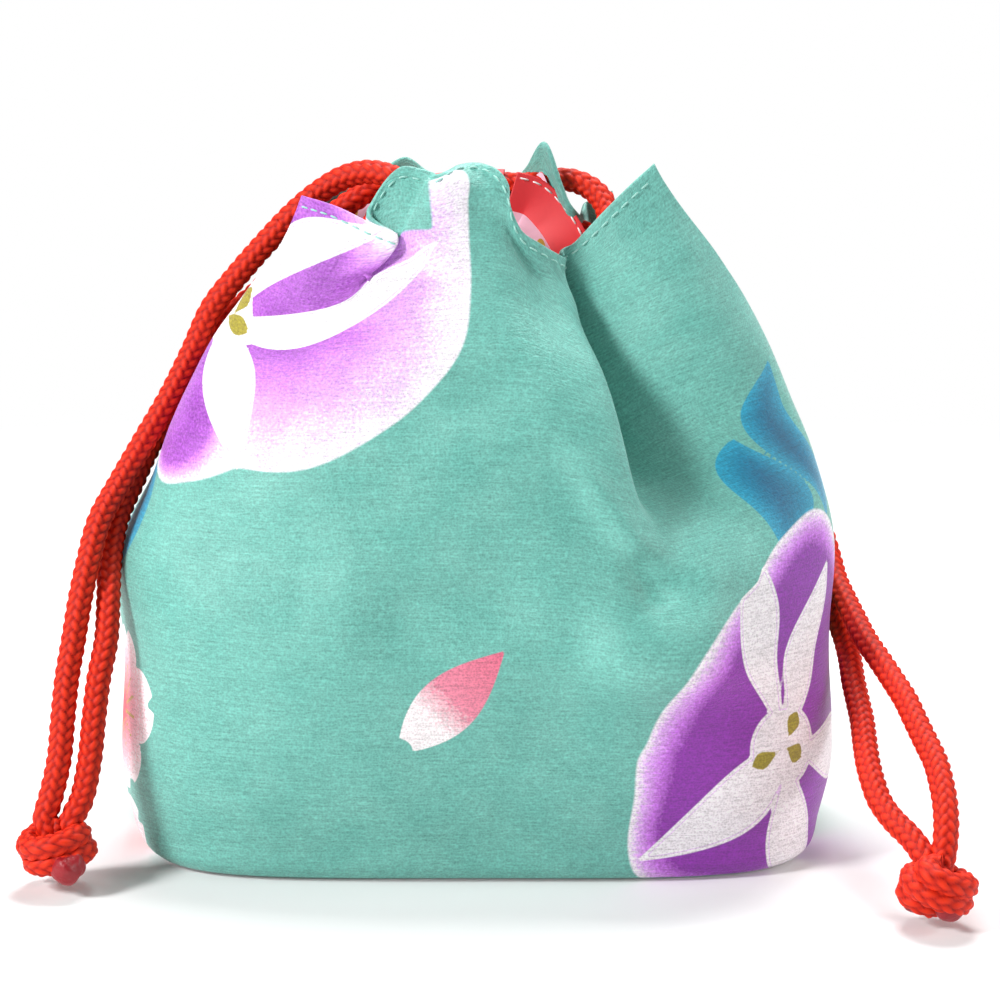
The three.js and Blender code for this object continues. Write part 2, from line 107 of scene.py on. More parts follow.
def ring_point(bearing, z):
    """Points of the outer cloth: a superellipse with its own reach to each side at that height, taken in
    by a bell-shaped dent for every fold."""
    s, c = np.sin(np.radians(bearing)), np.cos(np.radians(bearing))
    side = np.where(s < 0, along(RINGS, z, 1), along(RINGS, z, 2))
    reach = np.where(c < 0, along(RINGS, z, 4), along(RINGS, z, 3))
    n = along(RINGS, z, 5)
    r = (np.abs(s / side) ** n + np.abs(c / reach) ** n) ** (-1 / n)
    for foot, foot_bearing, hem_bearing, depth, left, right in FOLDS:
        turn = (hem_bearing - foot_bearing) * (z - foot) / (HEM_LEVEL - foot)
        off = (bearing - foot_bearing - turn + 540) % 360 - 180
        spread = np.where(off < 0, left, right)
        r = r - depth * smooth((z - foot) / FOLD_RISE) * np.exp(-((off / spread) ** 2))
    for at, height, wide, tall, out in BULGES:
        off = (bearing - at + 540) % 360 - 180
        r = r + out * np.exp(-((off / wide) ** 2) - ((z - height) / tall) ** 2)
    return np.stack([r * s, -r * c, z + 0 * r], -1)


def new_mesh(name, points, faces):
    """A smooth-shaded object from an array of points and a list of arrays of faces."""
    mesh = bpy.data.meshes.new(name)
    mesh.from_pydata(points.tolist(), [], [f for part in faces for f in part.tolist()])
    mesh.shade_smooth()
    obj = bpy.data.objects.new(name, mesh)
    bpy.context.scene.collection.objects.link(obj)
    return obj


def skin(name, rings):
    """A closed mesh through n rings of k points, with a fan to the middle of the first and of the last."""
    n, k = rings.shape[:2]
    points = np.vstack([rings.reshape(-1, 3), rings[0].mean(0), rings[-1].mean(0)])
    i, j = np.meshgrid(np.arange(n - 1), np.arange(k), indexing="ij")
    a, b = i * k + j, i * k + (j + 1) % k
    quads = np.stack([a, b, b + k, a + k], -1).reshape(-1, 4)
    j, turned = np.arange(k), (np.arange(k) + 1) % k
    first = np.stack([turned, j, 0 * j + n * k], -1)
    last = np.stack([(n - 1) * k + j, (n - 1) * k + turned, 0 * j + n * k + 1], -1)
    return new_mesh(name, points, [quads, first, last])


def linear(text):
    """An sRGB hex colour as linear red, green, blue and alpha."""
    c = np.array([int(text[i : i + 2], 16) for i in (0, 2, 4)]) / 255
    return [*np.where(c <= 0.04045, c / 12.92, ((c + 0.055) / 1.055) ** 2.4), 1.0]


def add(tree, kind, inputs, output=0, stops=(), **settings):
    """Adds a node and gives one of its outputs. Inputs hold each socket's value or the output that is linked
    to it, stops are a colour ramp's positions and colours, and settings are the node's properties."""
    node = tree.nodes.new("ShaderNode" + kind)
    for name, value in settings.items():
        setattr(node, name, value)
    for socket, value in inputs.items():
        if isinstance(value, bpy.types.NodeSocket):
            tree.links.new(value, node.inputs[socket])
        else:
            node.inputs[socket].default_value = value
    for k, (position, color) in enumerate(stops):
        ramp = node.color_ramp.elements
        stop = ramp[k] if k < len(ramp) else ramp.new(position)
        stop.position, stop.color = position, linear(color)
    return node.outputs[output] if len(node.outputs) else None


def new_material(name):
    """An empty material and its node tree."""
    material = bpy.data.materials.new(name)
    material.use_nodes = True
    material.node_tree.nodes.clear()
    return material, material.node_tree


RIB = 0.0006  # from rib to rib; real crepe has about 0.5 mm, drawn a little coarser so that it shows
RIB_DEPTH = 0.00022


def crepe_surface(tree, color):
    """The surface of crepe: weft threads twisted hard so that they lie in fine wavy ribs across the cloth,
    with longer lines among them, broken up into grains. Its height is the weighted sum of the three patterns,
    each read off the cloth's flat coordinates and scaled by how often it changes to a rib. It bumps the
    surface, and it also darkens the colour where the weave lies low: painted shade in the grooves between
    ribs."""
    flat = add(tree, "UVMap", {}, uv_map="flat")
    tall = add(tree, "VectorMath", {0: flat, 1: (0.3 / RIB, 1.6 / RIB, 1)}, operation="MULTIPLY")
    ribs = add(tree, "TexNoise", {"Vector": tall, "Scale": 1.0, "Detail": 2.0, "Roughness": 0.6}, "Fac")
    wide = add(tree, "VectorMath", {0: flat, 1: (0.04 / RIB, 1 / RIB, 1)}, operation="MULTIPLY")
    lines = add(tree, "TexNoise", {"Vector": wide, "Scale": 1.0, "Detail": 3.0, "Roughness": 0.7}, "Fac")
    grain = add(tree, "TexVoronoi", {"Vector": flat, "Scale": 1.3 / RIB}, "Distance")
    height = add(tree, "Math", {0: grain, 1: 0.35, 2: -0.25}, operation="MULTIPLY_ADD")
    for pattern, share in ((ribs, 0.6), (lines, 0.5)):
        height = add(tree, "Math", {0: pattern, 1: share, 2: height}, operation="MULTIPLY_ADD")
    bump = add(tree, "Bump", {"Height": height, "Strength": 1.0, "Distance": RIB_DEPTH})
    # Painted shade: the colour is multiplied down where the weave lies low, in the grooves between its ribs
    # and grains
    shade = add(tree, "Math", {0: height, 1: 1.4, 2: 0.36}, operation="MULTIPLY_ADD")
    painted_groove_shade = add(tree, "CombineColor", {0: shade, 1: shade, 2: shade})
    shaded = add(tree, "Mix", {0: 1.0, 6: color, 7: painted_groove_shade}, 2, data_type="RGBA", blend_type="MULTIPLY")
    shader = add(tree, "BsdfPrincipled", {
        "Base Color": shaded, "Roughness": 0.55, "Normal": bump,
        "Sheen Weight": 0.3, "Sheen Roughness": 0.4, "Specular IOR Level": 0.6,
    })
    add(tree, "OutputMaterial", {"Surface": shader})


# Plain crepe: polyester chirimen, dyed mint in the piece. Matt, with a soft fuzz and a slight silky shine.
plain_crepe, tree = new_material("polyester_chirimen_crepe_plain")
crepe_surface(tree, linear("6ab6a9"))

BOTTOM_IN = 0.0016  # from the walls' outer face in to the bottom panel's edge
BOTTOM_THICK = 0.0012
turn = np.linspace(-180, 180, 120, endpoint=False)
outline = ring_point(turn, np.full(turn.shape, 0.0))
middle = outline.mean(0)
# The rings of the plate from the middle of its underside out and back to the middle of its top: the share of
# the way out, and the height
BOTTOM_LEVELS = [(share, 0.0) for share in (0.05, 0.3, 0.6, 0.9, 0.99)] + [(1, 0.0003), (1, 0.0009)]
BOTTOM_LEVELS += [(share, BOTTOM_THICK) for share in (0.99, 0.9, 0.6, 0.3, 0.05)]


def flat_map(obj, flat):
    """Gives a mesh its flat coordinates in metres, one pair for each point."""
    layer = obj.data.uv_layers.new(name="flat")
    corner = np.zeros(len(obj.data.loops), np.int32)
    obj.data.loops.foreach_get("vertex_index", corner)
    layer.data.foreach_set("uv", flat[corner].astype(np.float32).ravel())


def coordinates(obj):
    """A mesh's points as an array."""
    points = np.zeros(len(obj.data.vertices) * 3, np.float32)
    obj.data.vertices.foreach_get("co", points)
    return points.reshape(-1, 3)


def bottom_plate(name, edge_in, levels):
    """A closed plate whose rings are the outline of the bag's foot drawn in by edge_in and scaled about its
    middle, one for each level. Gives the plate and the outline of its edge."""
    edge = outline + (middle - outline) * (edge_in / np.linalg.norm(outline - middle, axis=1))[:, None]
    plate = skin(name, np.array([middle + (edge - middle) * share + [0, 0, z] for share, z in levels]))
    flat_map(plate, coordinates(plate)[:, :2])
    return plate, edge


bottom, edge = bottom_plate("outer_bottom_panel", BOTTOM_IN, BOTTOM_LEVELS)
bottom.data.materials.append(plain_crepe)
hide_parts("bottom_panel")
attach(bottom, "bag")

# Outer front and back panels
# Two pieces of printed chirimen crepe from the bottom to the hem, sewn together up the sides as far as
# the foot of the slits, and gathered into folds at the neck. The hem is turned in and topstitched.
FOOT = 0.0006
CREPE = 0.0012  # the panel's thickness
SEAM = 0.00012  # half the gap between the panels at their side seams
MOUTH_FOOT = 0.106  # height where the side slits start
SLIT_TOP = 0.148
SLITS = {"front": 0.0105, "back": 0.017}  # how far each panel has drawn back from the slits at their top
# Each hem as the line it takes: how far along the panel, from 0 at its left edge as seen from outside to 1
# at its right, then where that point of the hem is. The cloth eases into it from the level of the slits.
HEMS = {
    "front": [
        (0, -0.0396, -0.0085, 0.1485), (0.065, -0.0314, -0.016, 0.1467), (0.13, -0.0232, -0.021, 0.1433),
        (0.185, -0.0171, -0.0232, 0.1412), (0.205, -0.0182, -0.0203, 0.1418), (0.24, -0.0231, -0.0172, 0.145),
        (0.275, -0.0212, -0.0155, 0.1508), (0.31, -0.017, -0.0152, 0.1552), (0.355, -0.012, -0.0165, 0.1549),
        (0.4, -0.0077, -0.0195, 0.1542), (0.435, -0.0040, -0.0200, 0.1560), (0.48, 0.0002, -0.0195, 0.1565),
        (0.525, 0.0045, -0.0205, 0.1553), (0.56, 0.0067, -0.0210, 0.1522), (0.62, 0.0080, -0.0212, 0.1462),
        (0.665, 0.0104, -0.0208, 0.1415), (0.715, 0.0146, -0.0190, 0.1386), (0.77, 0.0188, -0.0155, 0.1358),
        (0.8, 0.0203, -0.0130, 0.1349), (0.825, 0.0202, -0.0123, 0.1362), (0.885, 0.0254, -0.0133, 0.1422),
        (0.945, 0.0332, -0.0130, 0.1500), (1, 0.0399, -0.0110, 0.1558),
    ],
    "back": [
        (0, 0.0315, 0.0165, 0.1475), (0.08, 0.0285, 0.0165, 0.1455), (0.15, 0.0245, 0.0170, 0.1445),
        (0.19, 0.0228, 0.0085, 0.1425), (0.225, 0.0198, 0.0078, 0.1500), (0.265, 0.0160, 0.0110, 0.1592),
        (0.31, 0.0118, 0.0165, 0.1530), (0.36, 0.0080, 0.0205, 0.1490), (0.45, 0.0020, 0.0220, 0.1500),
        (0.54, -0.0060, 0.0220, 0.1505), (0.6, -0.0110, 0.0205, 0.1515), (0.66, -0.0170, 0.0210, 0.1550),
        (0.74, -0.0250, 0.0190, 0.1505), (0.87, -0.0340, 0.0160, 0.1490), (1, -0.0400, 0.0120, 0.1480),
    ],
}
# Where a fold laps over the cloth to its left: the foot and the top of its edge as seen from the front,
# how far it stands out there and how wide it is
LAPS = {"front": [(-0.0165, 0.1400, -0.0080, 0.1550, 0.0035, 0.012)], "back": []}
# Where the hem curls in over the mouth: how far along, spread, the height that curls and how far in it goes
ROLLS = {"front": [(0.46, 0.10, 0.007, 0.004)], "back": []}
# The cloth eases towards the hem's line from this height over this rise, evened out along the hem by this
# share of its length, and takes the line's own turns only from the second height
EASE_FOOT, EASE_RISE, EASE_SPREAD = 0.100, 0.050, 0.07
TURNS_FOOT, TURNS_RISE = 0.1335, 0.0155
# Small unevenness all over the cloth: its height, its sizes across and up, and how far its lines wander
RIPPLE, RIPPLE_ACROSS, RIPPLE_UP, RIPPLE_WANDER = 0.0003, 0.0061, 0.013, 0.019
STILL_SIDE, STILL_FOOT = 0.03, 0.05  # share of the panel next to its sides and foot that nothing dents
LAP_EDGE = 0.0018  # how far a lap takes to stand out at its edge
LAP_FADE, CREASE_FADE = 0.3, 0.4  # share of their length over which they come and go at each end
COLUMNS, ROWS = 230, 170
# Soft creases, each from one point of the panel to another in its flat coordinates (across from its
# middle, up from its foot), with its depth and its width; a negative depth stands out
CREASES = {
    "front": [
        (0.020, 0.098, 0.041, 0.073, -0.0022, 0.004), (0.0345, 0.079, 0.040, 0.067, 0.0026, 0.004),
        (0.024, 0.057, 0.058, 0.064, -0.0034, 0.010), (-0.026, 0.060, 0.016, 0.068, 0.0024, 0.010),
        (-0.066, 0.075, -0.030, 0.070, 0.0020, 0.010), (-0.020, 0.104, 0.012, 0.112, 0.0012, 0.007),
        (-0.020, 0.035, 0.030, 0.028, 0.0012, 0.012), (-0.0035, 0.152, 0.020, 0.1465, 0.0014, 0.003),
    ],
    "back": [],
}


def bearing_at(side, u, z):
    """The bearing of a column, from 0 at the panel's left edge to 1 at its right, at a height: the panel
    stops short of the side by half a seam, and by more and more up the slit."""
    open_ = SEAM + SLITS[side] * smooth((z - MOUTH_FOOT) / (SLIT_TOP - MOUTH_FOOT)) ** 0.6
    left = np.degrees(np.arcsin(open_ / along(RINGS, z, 1)))
    right = np.degrees(np.arcsin(open_ / along(RINGS, z, 2)))
    start = -90 + left if side == "front" else 90 + right
    return start + u * (180 - left - right)


def spaced(count):
    """Positions from 0 to 1, evenly spread, with closer ones at both ends."""
    even = np.linspace(0, 1, count)
    return np.unique(np.r_[0, 0.0006, 0.0018, 0.0036, even[1:-1], 1 - 0.0036, 1 - 0.0018, 1 - 0.0006, 1])


def normals(grid):
    """Outward unit normals of a grid of points, rows upwards and columns to the right."""
    across, up = np.gradient(grid, axis=1), np.gradient(grid, axis=0)
    n = np.cross(across, up)
    return n / np.linalg.norm(n, axis=-1, keepdims=True)


def flat_of(grid):
    """Flat coordinates of a grid: across is measured along each row from its middle, and up along each
    column from its foot."""
    step = np.linalg.norm(np.diff(grid, axis=1), axis=-1)
    across = np.concatenate([np.zeros((len(grid), 1)), np.cumsum(step, 1)], 1)
    across -= across[:, [across.shape[1] // 2]]
    rise = np.linalg.norm(np.diff(grid, axis=0), axis=-1)
    up = np.concatenate([np.zeros((1, grid.shape[1])), np.cumsum(rise, 0)], 0)
    return np.stack([across, up], -1)


def panel(side):
    """The outer face of a panel as a grid of points, and its flat coordinates. The cloth of the bag's rings
    is carried over to the line of the hem, then dented square to itself: a lap is a step with a bell-shaped
    slope behind it, a crease a bell round a line, and the ripples a product of sines. A roll bends the hem's
    last stretch over in a quarter circle."""
    u, v = np.meshgrid(spaced(COLUMNS), spaced(ROWS))
    z = FOOT + v * (HEM_LEVEL - FOOT)
    grid = ring_point(bearing_at(side, u, z), z)
    shift = np.stack([along(HEMS[side], u[0], k) for k in (1, 2, 3)], 1) - grid[-1]
    near = np.exp(-(((u[0][:, None] - u[0]) / EASE_SPREAD) ** 2))
    broad = near @ shift / near.sum(1, keepdims=True)
    grid += smooth((z - EASE_FOOT) / EASE_RISE)[..., None] * broad
    flat = flat_of(grid)
    grid += smooth((z - TURNS_FOOT) / TURNS_RISE)[..., None] * (shift - broad)
    dent = np.zeros(z.shape)
    for x0, z0, x1, z1, out, wide in LAPS[side]:
        length = np.hypot(x1 - x0, z1 - z0)
        right = ((grid[..., 0] - x0) * (z1 - z0) - (grid[..., 2] - z0) * (x1 - x0)) / length
        up = ((grid[..., 0] - x0) * (x1 - x0) + (grid[..., 2] - z0) * (z1 - z0)) / length**2
        lap = smooth(right / LAP_EDGE + 0.5) * np.exp(-((np.maximum(right, 0) / wide) ** 2))
        dent -= out * lap * smooth(up / LAP_FADE + 0.6) * smooth((1.25 - up) / LAP_FADE)
    for s0, t0, s1, t1, depth, width in CREASES[side]:
        a, ab = np.array([s0, t0]), np.array([s1 - s0, t1 - t0])
        k = ((flat - a) @ ab) / (ab @ ab)
        off = np.linalg.norm(flat - a - np.clip(k, 0, 1)[..., None] * ab, axis=-1)
        ends = smooth(k / CREASE_FADE + 0.3) * smooth((1 - k) / CREASE_FADE + 0.3)
        dent += depth * np.exp(-((off / width) ** 2)) * ends
    s, t = flat[..., 0], flat[..., 1]
    wander = 1.3 * np.sin(t / RIPPLE_WANDER)
    dent += RIPPLE * np.sin(s / RIPPLE_ACROSS + wander) * np.sin(t / RIPPLE_UP + 0.8)
    edge = smooth(np.minimum(u, 1 - u) / STILL_SIDE) * smooth(v / STILL_FOOT)
    grid = grid - normals(grid) * (dent * edge)[..., None]
    for at, spread, height, back in ROLLS[side]:
        over = np.clip((z - (HEM_LEVEL - height)) / height, 0, 1) * np.exp(-(((u - at) / spread) ** 4))
        inward = 1 if side == "front" else -1
        grid[..., 1] += back * (1 - np.sqrt(1 - np.minimum(over, 0.995) ** 2)) * inward
    return grid, flat


def sheet(name, outside, thickness, flat):
    """A closed sheet of that thickness under a grid of points. Its two faces come together at every edge in
    a quarter circle."""
    n = normals(outside)
    rows, columns = outside.shape[:2]
    edge = np.full((rows, columns), thickness)
    for axis in (0, 1):
        step = np.linalg.norm(np.diff(outside, axis=axis), axis=-1)
        run = np.concatenate([np.zeros_like(step.take([0], axis)), np.cumsum(step, axis)], axis)
        edge = np.minimum(edge, np.minimum(run, run.max(axis, keepdims=True) - run))
    depth = thickness * np.clip(edge / (thickness * 0.6), 0.0004, 1)
    half = thickness / 2 * np.sqrt(1 - (1 - np.minimum(depth / thickness, 1)) ** 2)
    middle = outside - n * (thickness / 2)
    points = np.concatenate([(middle + n * half[..., None]).reshape(-1, 3),
                             (middle - n * half[..., None]).reshape(-1, 3)])
    i, j = np.meshgrid(np.arange(rows - 1), np.arange(columns - 1), indexing="ij")
    a = i * columns + j
    outer = np.stack([a, a + 1, a + columns + 1, a + columns], -1).reshape(-1, 4)
    inner = outer[:, ::-1] + rows * columns
    border = np.r_[0:columns, np.arange(1, rows) * columns + columns - 1,
                   (rows - 1) * columns + np.arange(columns - 2, -1, -1),
                   np.arange(rows - 2, 0, -1) * columns]
    after = np.roll(border, -1)
    rim = np.stack([border + rows * columns, after + rows * columns, after, border], -1)
    obj = new_mesh(name, points, [outer, inner, rim])
    flat_map(obj, np.concatenate([flat.reshape(-1, 2)] * 2))
    return obj


def leaf_shape(p, base, tip, wide, bend, fullest):
    """How far inside a leaf shape points lie, in millimetres. It runs from base to tip, its half width is a
    sine that peaks at fullest of its length, and its midrib bows to the left by bend."""
    base, tip = np.array(base, float), np.array(tip, float)
    length = np.linalg.norm(tip - base)
    axis = (tip - base) / length
    q = (p - base) @ axis / length
    off = (p - base) @ np.array([-axis[1], axis[0]]) - bend * 4 * q * (1 - q)
    half = wide / 2 * np.sin(np.pi * np.clip(q, 0, 1) ** (np.log(0.5) / np.log(fullest)))
    past = np.maximum(-q, q - 1) * length
    return np.where(past > 0, -np.hypot(past, off), half - np.abs(off))


# The print, in millimetres of flat cloth across and up each panel. Morning glories: the middle, the rim's
# distance by angle, the reach of the white heart, the white ribs as angle, length, width, bow and where
# they are widest, the drops as angle, start, length and width, how wide the violet fades out to the rim,
# and how deep it gets
GLORIES = {
    "front": [
        ((-63, 130), [(-180, 40), (-140, 43), (-113, 44), (-97, 40), (-78, 37), (-72, 38), (-55, 44),
                      (-38, 49), (-22, 55), (-9, 60), (4, 61), (14, 62), (22, 64), (27, 66), (30, 64),
                      (34, 52), (38, 45), (46, 44.5), (60, 46), (90, 42), (120, 38), (150, 43),
                      (180, 40)], 8.6,
         [(17, 57, 13, -6, 0.45), (44, 48, 11, 7, 0.5), (-76, 38, 17, 0.5, 0.37), (130, 38, 13, 2, 0.4),
          (196, 40, 13, -2, 0.4)],
         [(70, 0.8, 8.5, 6), (-6, -4, 12.5, 4.8), (165, 2, 7, 3.6)],
         [(-180, 7), (-95, 7), (-78, 26), (-60, 34), (20, 34), (40, 12), (60, 8), (180, 8)], 0.74),
        ((70, 30), [(-180, 35), (-165, 37), (-141, 45), (-120, 42), (-90, 34), (-60, 40), (-20, 38), (20, 44),
                    (50, 50), (71, 53), (86, 47), (96, 41), (100, 38), (113, 36), (129, 33), (151, 32),
                    (172, 33), (180, 35)], 9.4,
         [(99, 48, 12, 1.5, 0.6), (62, 44, 11.5, 2, 0.55), (215, 43, 14, 2.5, 0.36), (-86, 38, 15, 0.5, 0.6),
          (-6, 38, 15, -2, 0.6)],
         [(62, 1.5, 7, 4), (-30, 0, 6, 4.6), (200, 1.5, 8, 4)], [(-180, 10), (180, 10)], 1.0),
    ],
    "back": [
        ((-58, 118), [(-180, 40), (-150, 43), (-120, 36), (-84, 42), (-50, 38), (-12, 44), (24, 37), (60, 42),
                      (96, 38), (132, 43), (168, 37), (180, 40)], 8.5,
         [(24, 38, 13, 3, 0.45), (96, 38, 13, -3, 0.45), (168, 38, 13, 3, 0.45), (240, 37, 13, 2, 0.45),
          (312, 39, 13, -2, 0.45)],
         [(60, 1, 8, 5), (-20, 1, 8, 4.4), (190, 1, 8, 4.4)], [(-180, 22), (180, 22)], 0.8),
        ((38, 44), [(-180, 34), (-150, 36), (-108, 31), (-72, 36), (-36, 32), (0, 37), (36, 31), (72, 35),
                    (108, 31), (144, 36), (180, 34)], 8,
         [(36, 36, 11, 2, 0.55), (108, 36, 11, -2, 0.55), (180, 36, 11, 2, 0.55), (252, 36, 11, 2, 0.55),
          (324, 36, 11, -2, 0.55)],
         [(60, 1, 7, 4), (-20, 1, 7, 4), (190, 1, 7, 4)], [(-180, 11), (180, 11)], 1.0),
    ],
}
# Where a glory is cut off against the next repeat of the print: left, right and foot of what goes
CUTS = {"front": [(-25.5, -10.5, 149)], "back": []}
# Cherry petals: the notched end, the tip and the width
PETALS = {
    "front": [((-17.2, 31.5), (6.0, 54.5), 13)],
    "back": [((-22, 88), (2, 70), 15), ((70, 20), (92, 34), 14)],
}
# Blue leaves: base, tip, width and bow
LEAVES = {
    "front": [
        ((73, 73), (87, 101.5), 21, 2), ((92, 77), (105.5, 116.5), 16, 0), ((-97, 64), (-84, 96), 15, 2),
    ],
    "back": [((70, 96), (88, 128), 22, 3), ((74, 92), (52, 112), 16, -3), ((-20, 22), (-38, 4), 16, 2)],
}
# Cherry blossoms: middle, reach and turn
BLOSSOMS = {
    "front": [((-94, 35), 19, 12), ((-96, 3), 17, 30)],
    "back": [((0, 140), 19, 40), ((-86, 22), 19, 5)],
}
FAR_OUTSIDE = -50.0  # what the shapes' numbers start from
BESIDE = -3.0  # shading goes on this far past a shape's edge, under the soft edge of its ink
DROP_FULLEST, PETAL_FULLEST, LEAF_FULLEST = 0.66, 0.45, 0.5
PETAL_NOTCH = 3.2
PETAL_LOBE = 0.28  # share of a blossom's reach by which its outline sinks between two petals
BLOSSOM_NOTCH, BLOSSOM_NOTCH_WIDE = 2.2, 0.015
STAMENS, STAMENS_MIDDLE, STAMENS_REACH, STAMEN_HALF = 13, 6.5, 3.5, 0.4
HEART_OVER = 0.4  # how far the white runs out over a glory's rim


def toward(angle):
    """A step of one millimetre at an angle in degrees."""
    return np.array([np.cos(np.radians(angle)), np.sin(np.radians(angle))])


def print_fields(side, flat):
    """The print at points of flat cloth, as named numbers: how far inside each kind of shape a point lies in
    millimetres, and how far through its shading from 0 to 1. A glory is its rim's distance by angle less the
    point's own, a blossom the same with five cosine lobes, and leaves, ribs and drops are leaf shapes."""
    p = flat * 1000
    shapes = ("rim", "ribs", "drops", "petal", "leaf", "blossom", "stamens")
    out = {key: np.full(len(p), FAR_OUTSIDE) for key in shapes}
    fade, tint, shade, heart = (np.zeros(len(p)) for _ in range(4))
    for middle, rim, heart_reach, ribs, drops, soft, deep in GLORIES[side]:
        d = p - middle
        r, angle = np.hypot(*d.T), np.degrees(np.arctan2(d[:, 1], d[:, 0]))
        inside = along(rim, angle) - r
        fade = np.where(inside > out["rim"], deep * np.clip(inside / along(soft, angle), -1, 1), fade)
        for left, right, foot in CUTS[side]:
            cut = np.minimum(np.minimum(right - p[:, 0], p[:, 0] - left), p[:, 1] - foot)
            inside = np.minimum(inside, -cut)
        out["rim"] = np.maximum(out["rim"], inside)
        white = heart_reach - r
        for at, length, wide, bow, fullest in ribs:
            tip = middle + length * toward(at)
            white = np.maximum(white, leaf_shape(p, middle, tip, wide, bow, fullest))
        out["ribs"] = np.maximum(out["ribs"], np.minimum(white, inside + HEART_OVER))
        for at, start, length, wide in drops:
            begin, end = middle + start * toward(at), middle + (start + length) * toward(at)
            out["drops"] = np.maximum(out["drops"], leaf_shape(p, begin, end, wide, 0, DROP_FULLEST))
    for end, tip, wide in PETALS[side]:
        inside = leaf_shape(p, end, tip, wide, 0, PETAL_FULLEST)
        inside = np.minimum(inside, np.hypot(*(p - end).T) - PETAL_NOTCH)
        length = np.subtract(tip, end)
        tint = np.where(inside > BESIDE, (p - end) @ length / (length @ length), tint)
        out["petal"] = np.maximum(out["petal"], inside)
    for base, tip, wide, bow in LEAVES[side]:
        inside = leaf_shape(p, base, tip, wide, bow, LEAF_FULLEST)
        shade = np.where(inside > np.maximum(out["leaf"], BESIDE), inside / wide * 2, shade)
        out["leaf"] = np.maximum(out["leaf"], inside)
    for middle, reach, turn in BLOSSOMS[side]:
        d = p - middle
        r, angle = np.hypot(*d.T), np.arctan2(d[:, 1], d[:, 0]) - np.radians(turn)
        lobe = np.abs(np.cos(2.5 * angle))
        notch = BLOSSOM_NOTCH * np.exp(-(((1 - lobe) / BLOSSOM_NOTCH_WIDE) ** 2))
        inside = reach * (1 - PETAL_LOBE + PETAL_LOBE * lobe**0.5) - r - notch
        heart = np.where(inside > BESIDE, 1 - r / reach, heart)
        out["blossom"] = np.maximum(out["blossom"], inside)
        ray = np.abs((angle / (2 * np.pi) * STAMENS) % 1 - 0.5) * r * 0.48
        ray = np.where(np.abs(r - STAMENS_MIDDLE) < STAMENS_REACH, STAMEN_HALF - ray, -1)
        out["stamens"] = np.maximum(out["stamens"], ray)
    out.update(fade=fade, tint=tint, shade=shade, heart=heart)
    return out


# Printed crepe: the same polyester chirimen, screen printed with pigment inks, which sink into the weave and
# so shade off in specks where two of them meet
printed_crepe, tree = new_material("polyester_chirimen_crepe_printed")
flat = add(tree, "UVMap", {}, uv_map="flat")
INK_SPECKS, DYE_CLOUDS = 1.4, 0.09  # how many to a millimetre
speckle = add(tree, "TexNoise", {"Vector": flat, "Scale": 1000 * INK_SPECKS, "Detail": 2.0}, "Fac")
cloud = add(tree, "TexNoise", {"Vector": flat, "Scale": 1000 * DYE_CLOUDS, "Detail": 2.0}, "Fac")
specks = add(tree, "Math", {0: speckle, 1: 0.5, 2: -0.25}, operation="MULTIPLY_ADD")
clouds = add(tree, "Math", {0: cloud, 1: 0.3, 2: -0.15}, operation="MULTIPLY_ADD")


def shaded_ink(follows, speckled, clouded, stops):
    """An ink that goes through its stops along one of the print's numbers, with specks and clouds over it."""
    through = add(tree, "Attribute", {}, "Fac", attribute_name=follows)
    through = add(tree, "Math", {0: specks, 1: speckled, 2: through}, operation="MULTIPLY_ADD")
    through = add(tree, "Math", {0: clouds, 1: clouded, 2: through}, operation="MULTIPLY_ADD")
    return add(tree, "ValToRGB", {"Fac": through}, stops=stops)


# The inks in the order in which they are laid down: shape, softness of its edge in millimetres, and ink
INKS = [
    ("leaf", 0.14, shaded_ink("shade", 1.0, 0.0, [(0.05, "269fc0"), (0.5, "0a82a6"), (0.9, "046a90")])),
    ("blossom", 0.14, shaded_ink("heart", 1.0, 0.0, [(0.1, "fbf3f6"), (0.45, "f9b4c4"), (0.85, "e8455f")])),
    ("stamens", 0.1, linear("c9a040")),
    ("petal", 0.14, shaded_ink("tint", 0.5, 0.0, [(0.3, "fbf4f6"), (0.52, "e5849c"), (0.95, "df6c88")])),
    ("rim", 0.3, shaded_ink("fade", 0.9, 1.0, [
        (0.04, "f4eef6"), (0.28, "e0aaf0"), (0.55, "c873e0"), (0.85, "8c2ba8"),
    ])),
    ("ribs", 0.14, linear("f1edf1")),
    ("drops", 0.14, add(tree, "ValToRGB", {"Fac": speckle}, stops=[(0.3, "8f8118"), (0.7, "a89c28")])),
]
color = add(tree, "ValToRGB", {"Fac": cloud}, stops=[(0.3, "66b1a5"), (0.7, "73baae")])
for shape, soft, ink in INKS:
    inside = add(tree, "Attribute", {}, "Fac", attribute_name=shape)
    covered = add(tree, "MapRange", {"Value": inside, "From Min": -soft, "From Max": soft})
    color = add(tree, "Mix", {0: covered, 6: color, 7: ink}, 2, data_type="RGBA")
    if shape == "ribs":
        # A faint violet vein runs a little inside each white rib's edge
        vein = add(tree, "Math", {0: inside, 1: 0.85, 2: 0.13}, operation="COMPARE")
        vein = add(tree, "Math", {0: vein, 1: 0.5}, operation="MULTIPLY")
        color = add(tree, "Mix", {0: vein, 6: color, 7: linear("d9a3ea")}, 2, data_type="RGBA")
crepe_surface(tree, color)


def flat_size(flat):
    """The longest row across and the longest column up, to the millimetre."""
    return [round(float(length), 3) for length in np.ptp(flat, axis=(0, 1))]


panels = {}
sheets = {}
for side in ("front", "back"):
    grid, flat = panel(side)
    panels[side] = (grid, flat)
    cloth = sheet(f"outer_{side}_panel", grid, CREPE, flat)
    for key, values in print_fields(side, flat.reshape(-1, 2)).items():
        attribute = cloth.data.attributes.new(key, "FLOAT", "POINT")
        attribute.data.foreach_set("value", np.tile(values, 2).astype(np.float32))
    cloth.data.materials.append(printed_crepe)
    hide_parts(f"{side}_wall", f"{side}_mouth")
    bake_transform(cloth)
    sheets[side] = cloth, flat_size(flat)

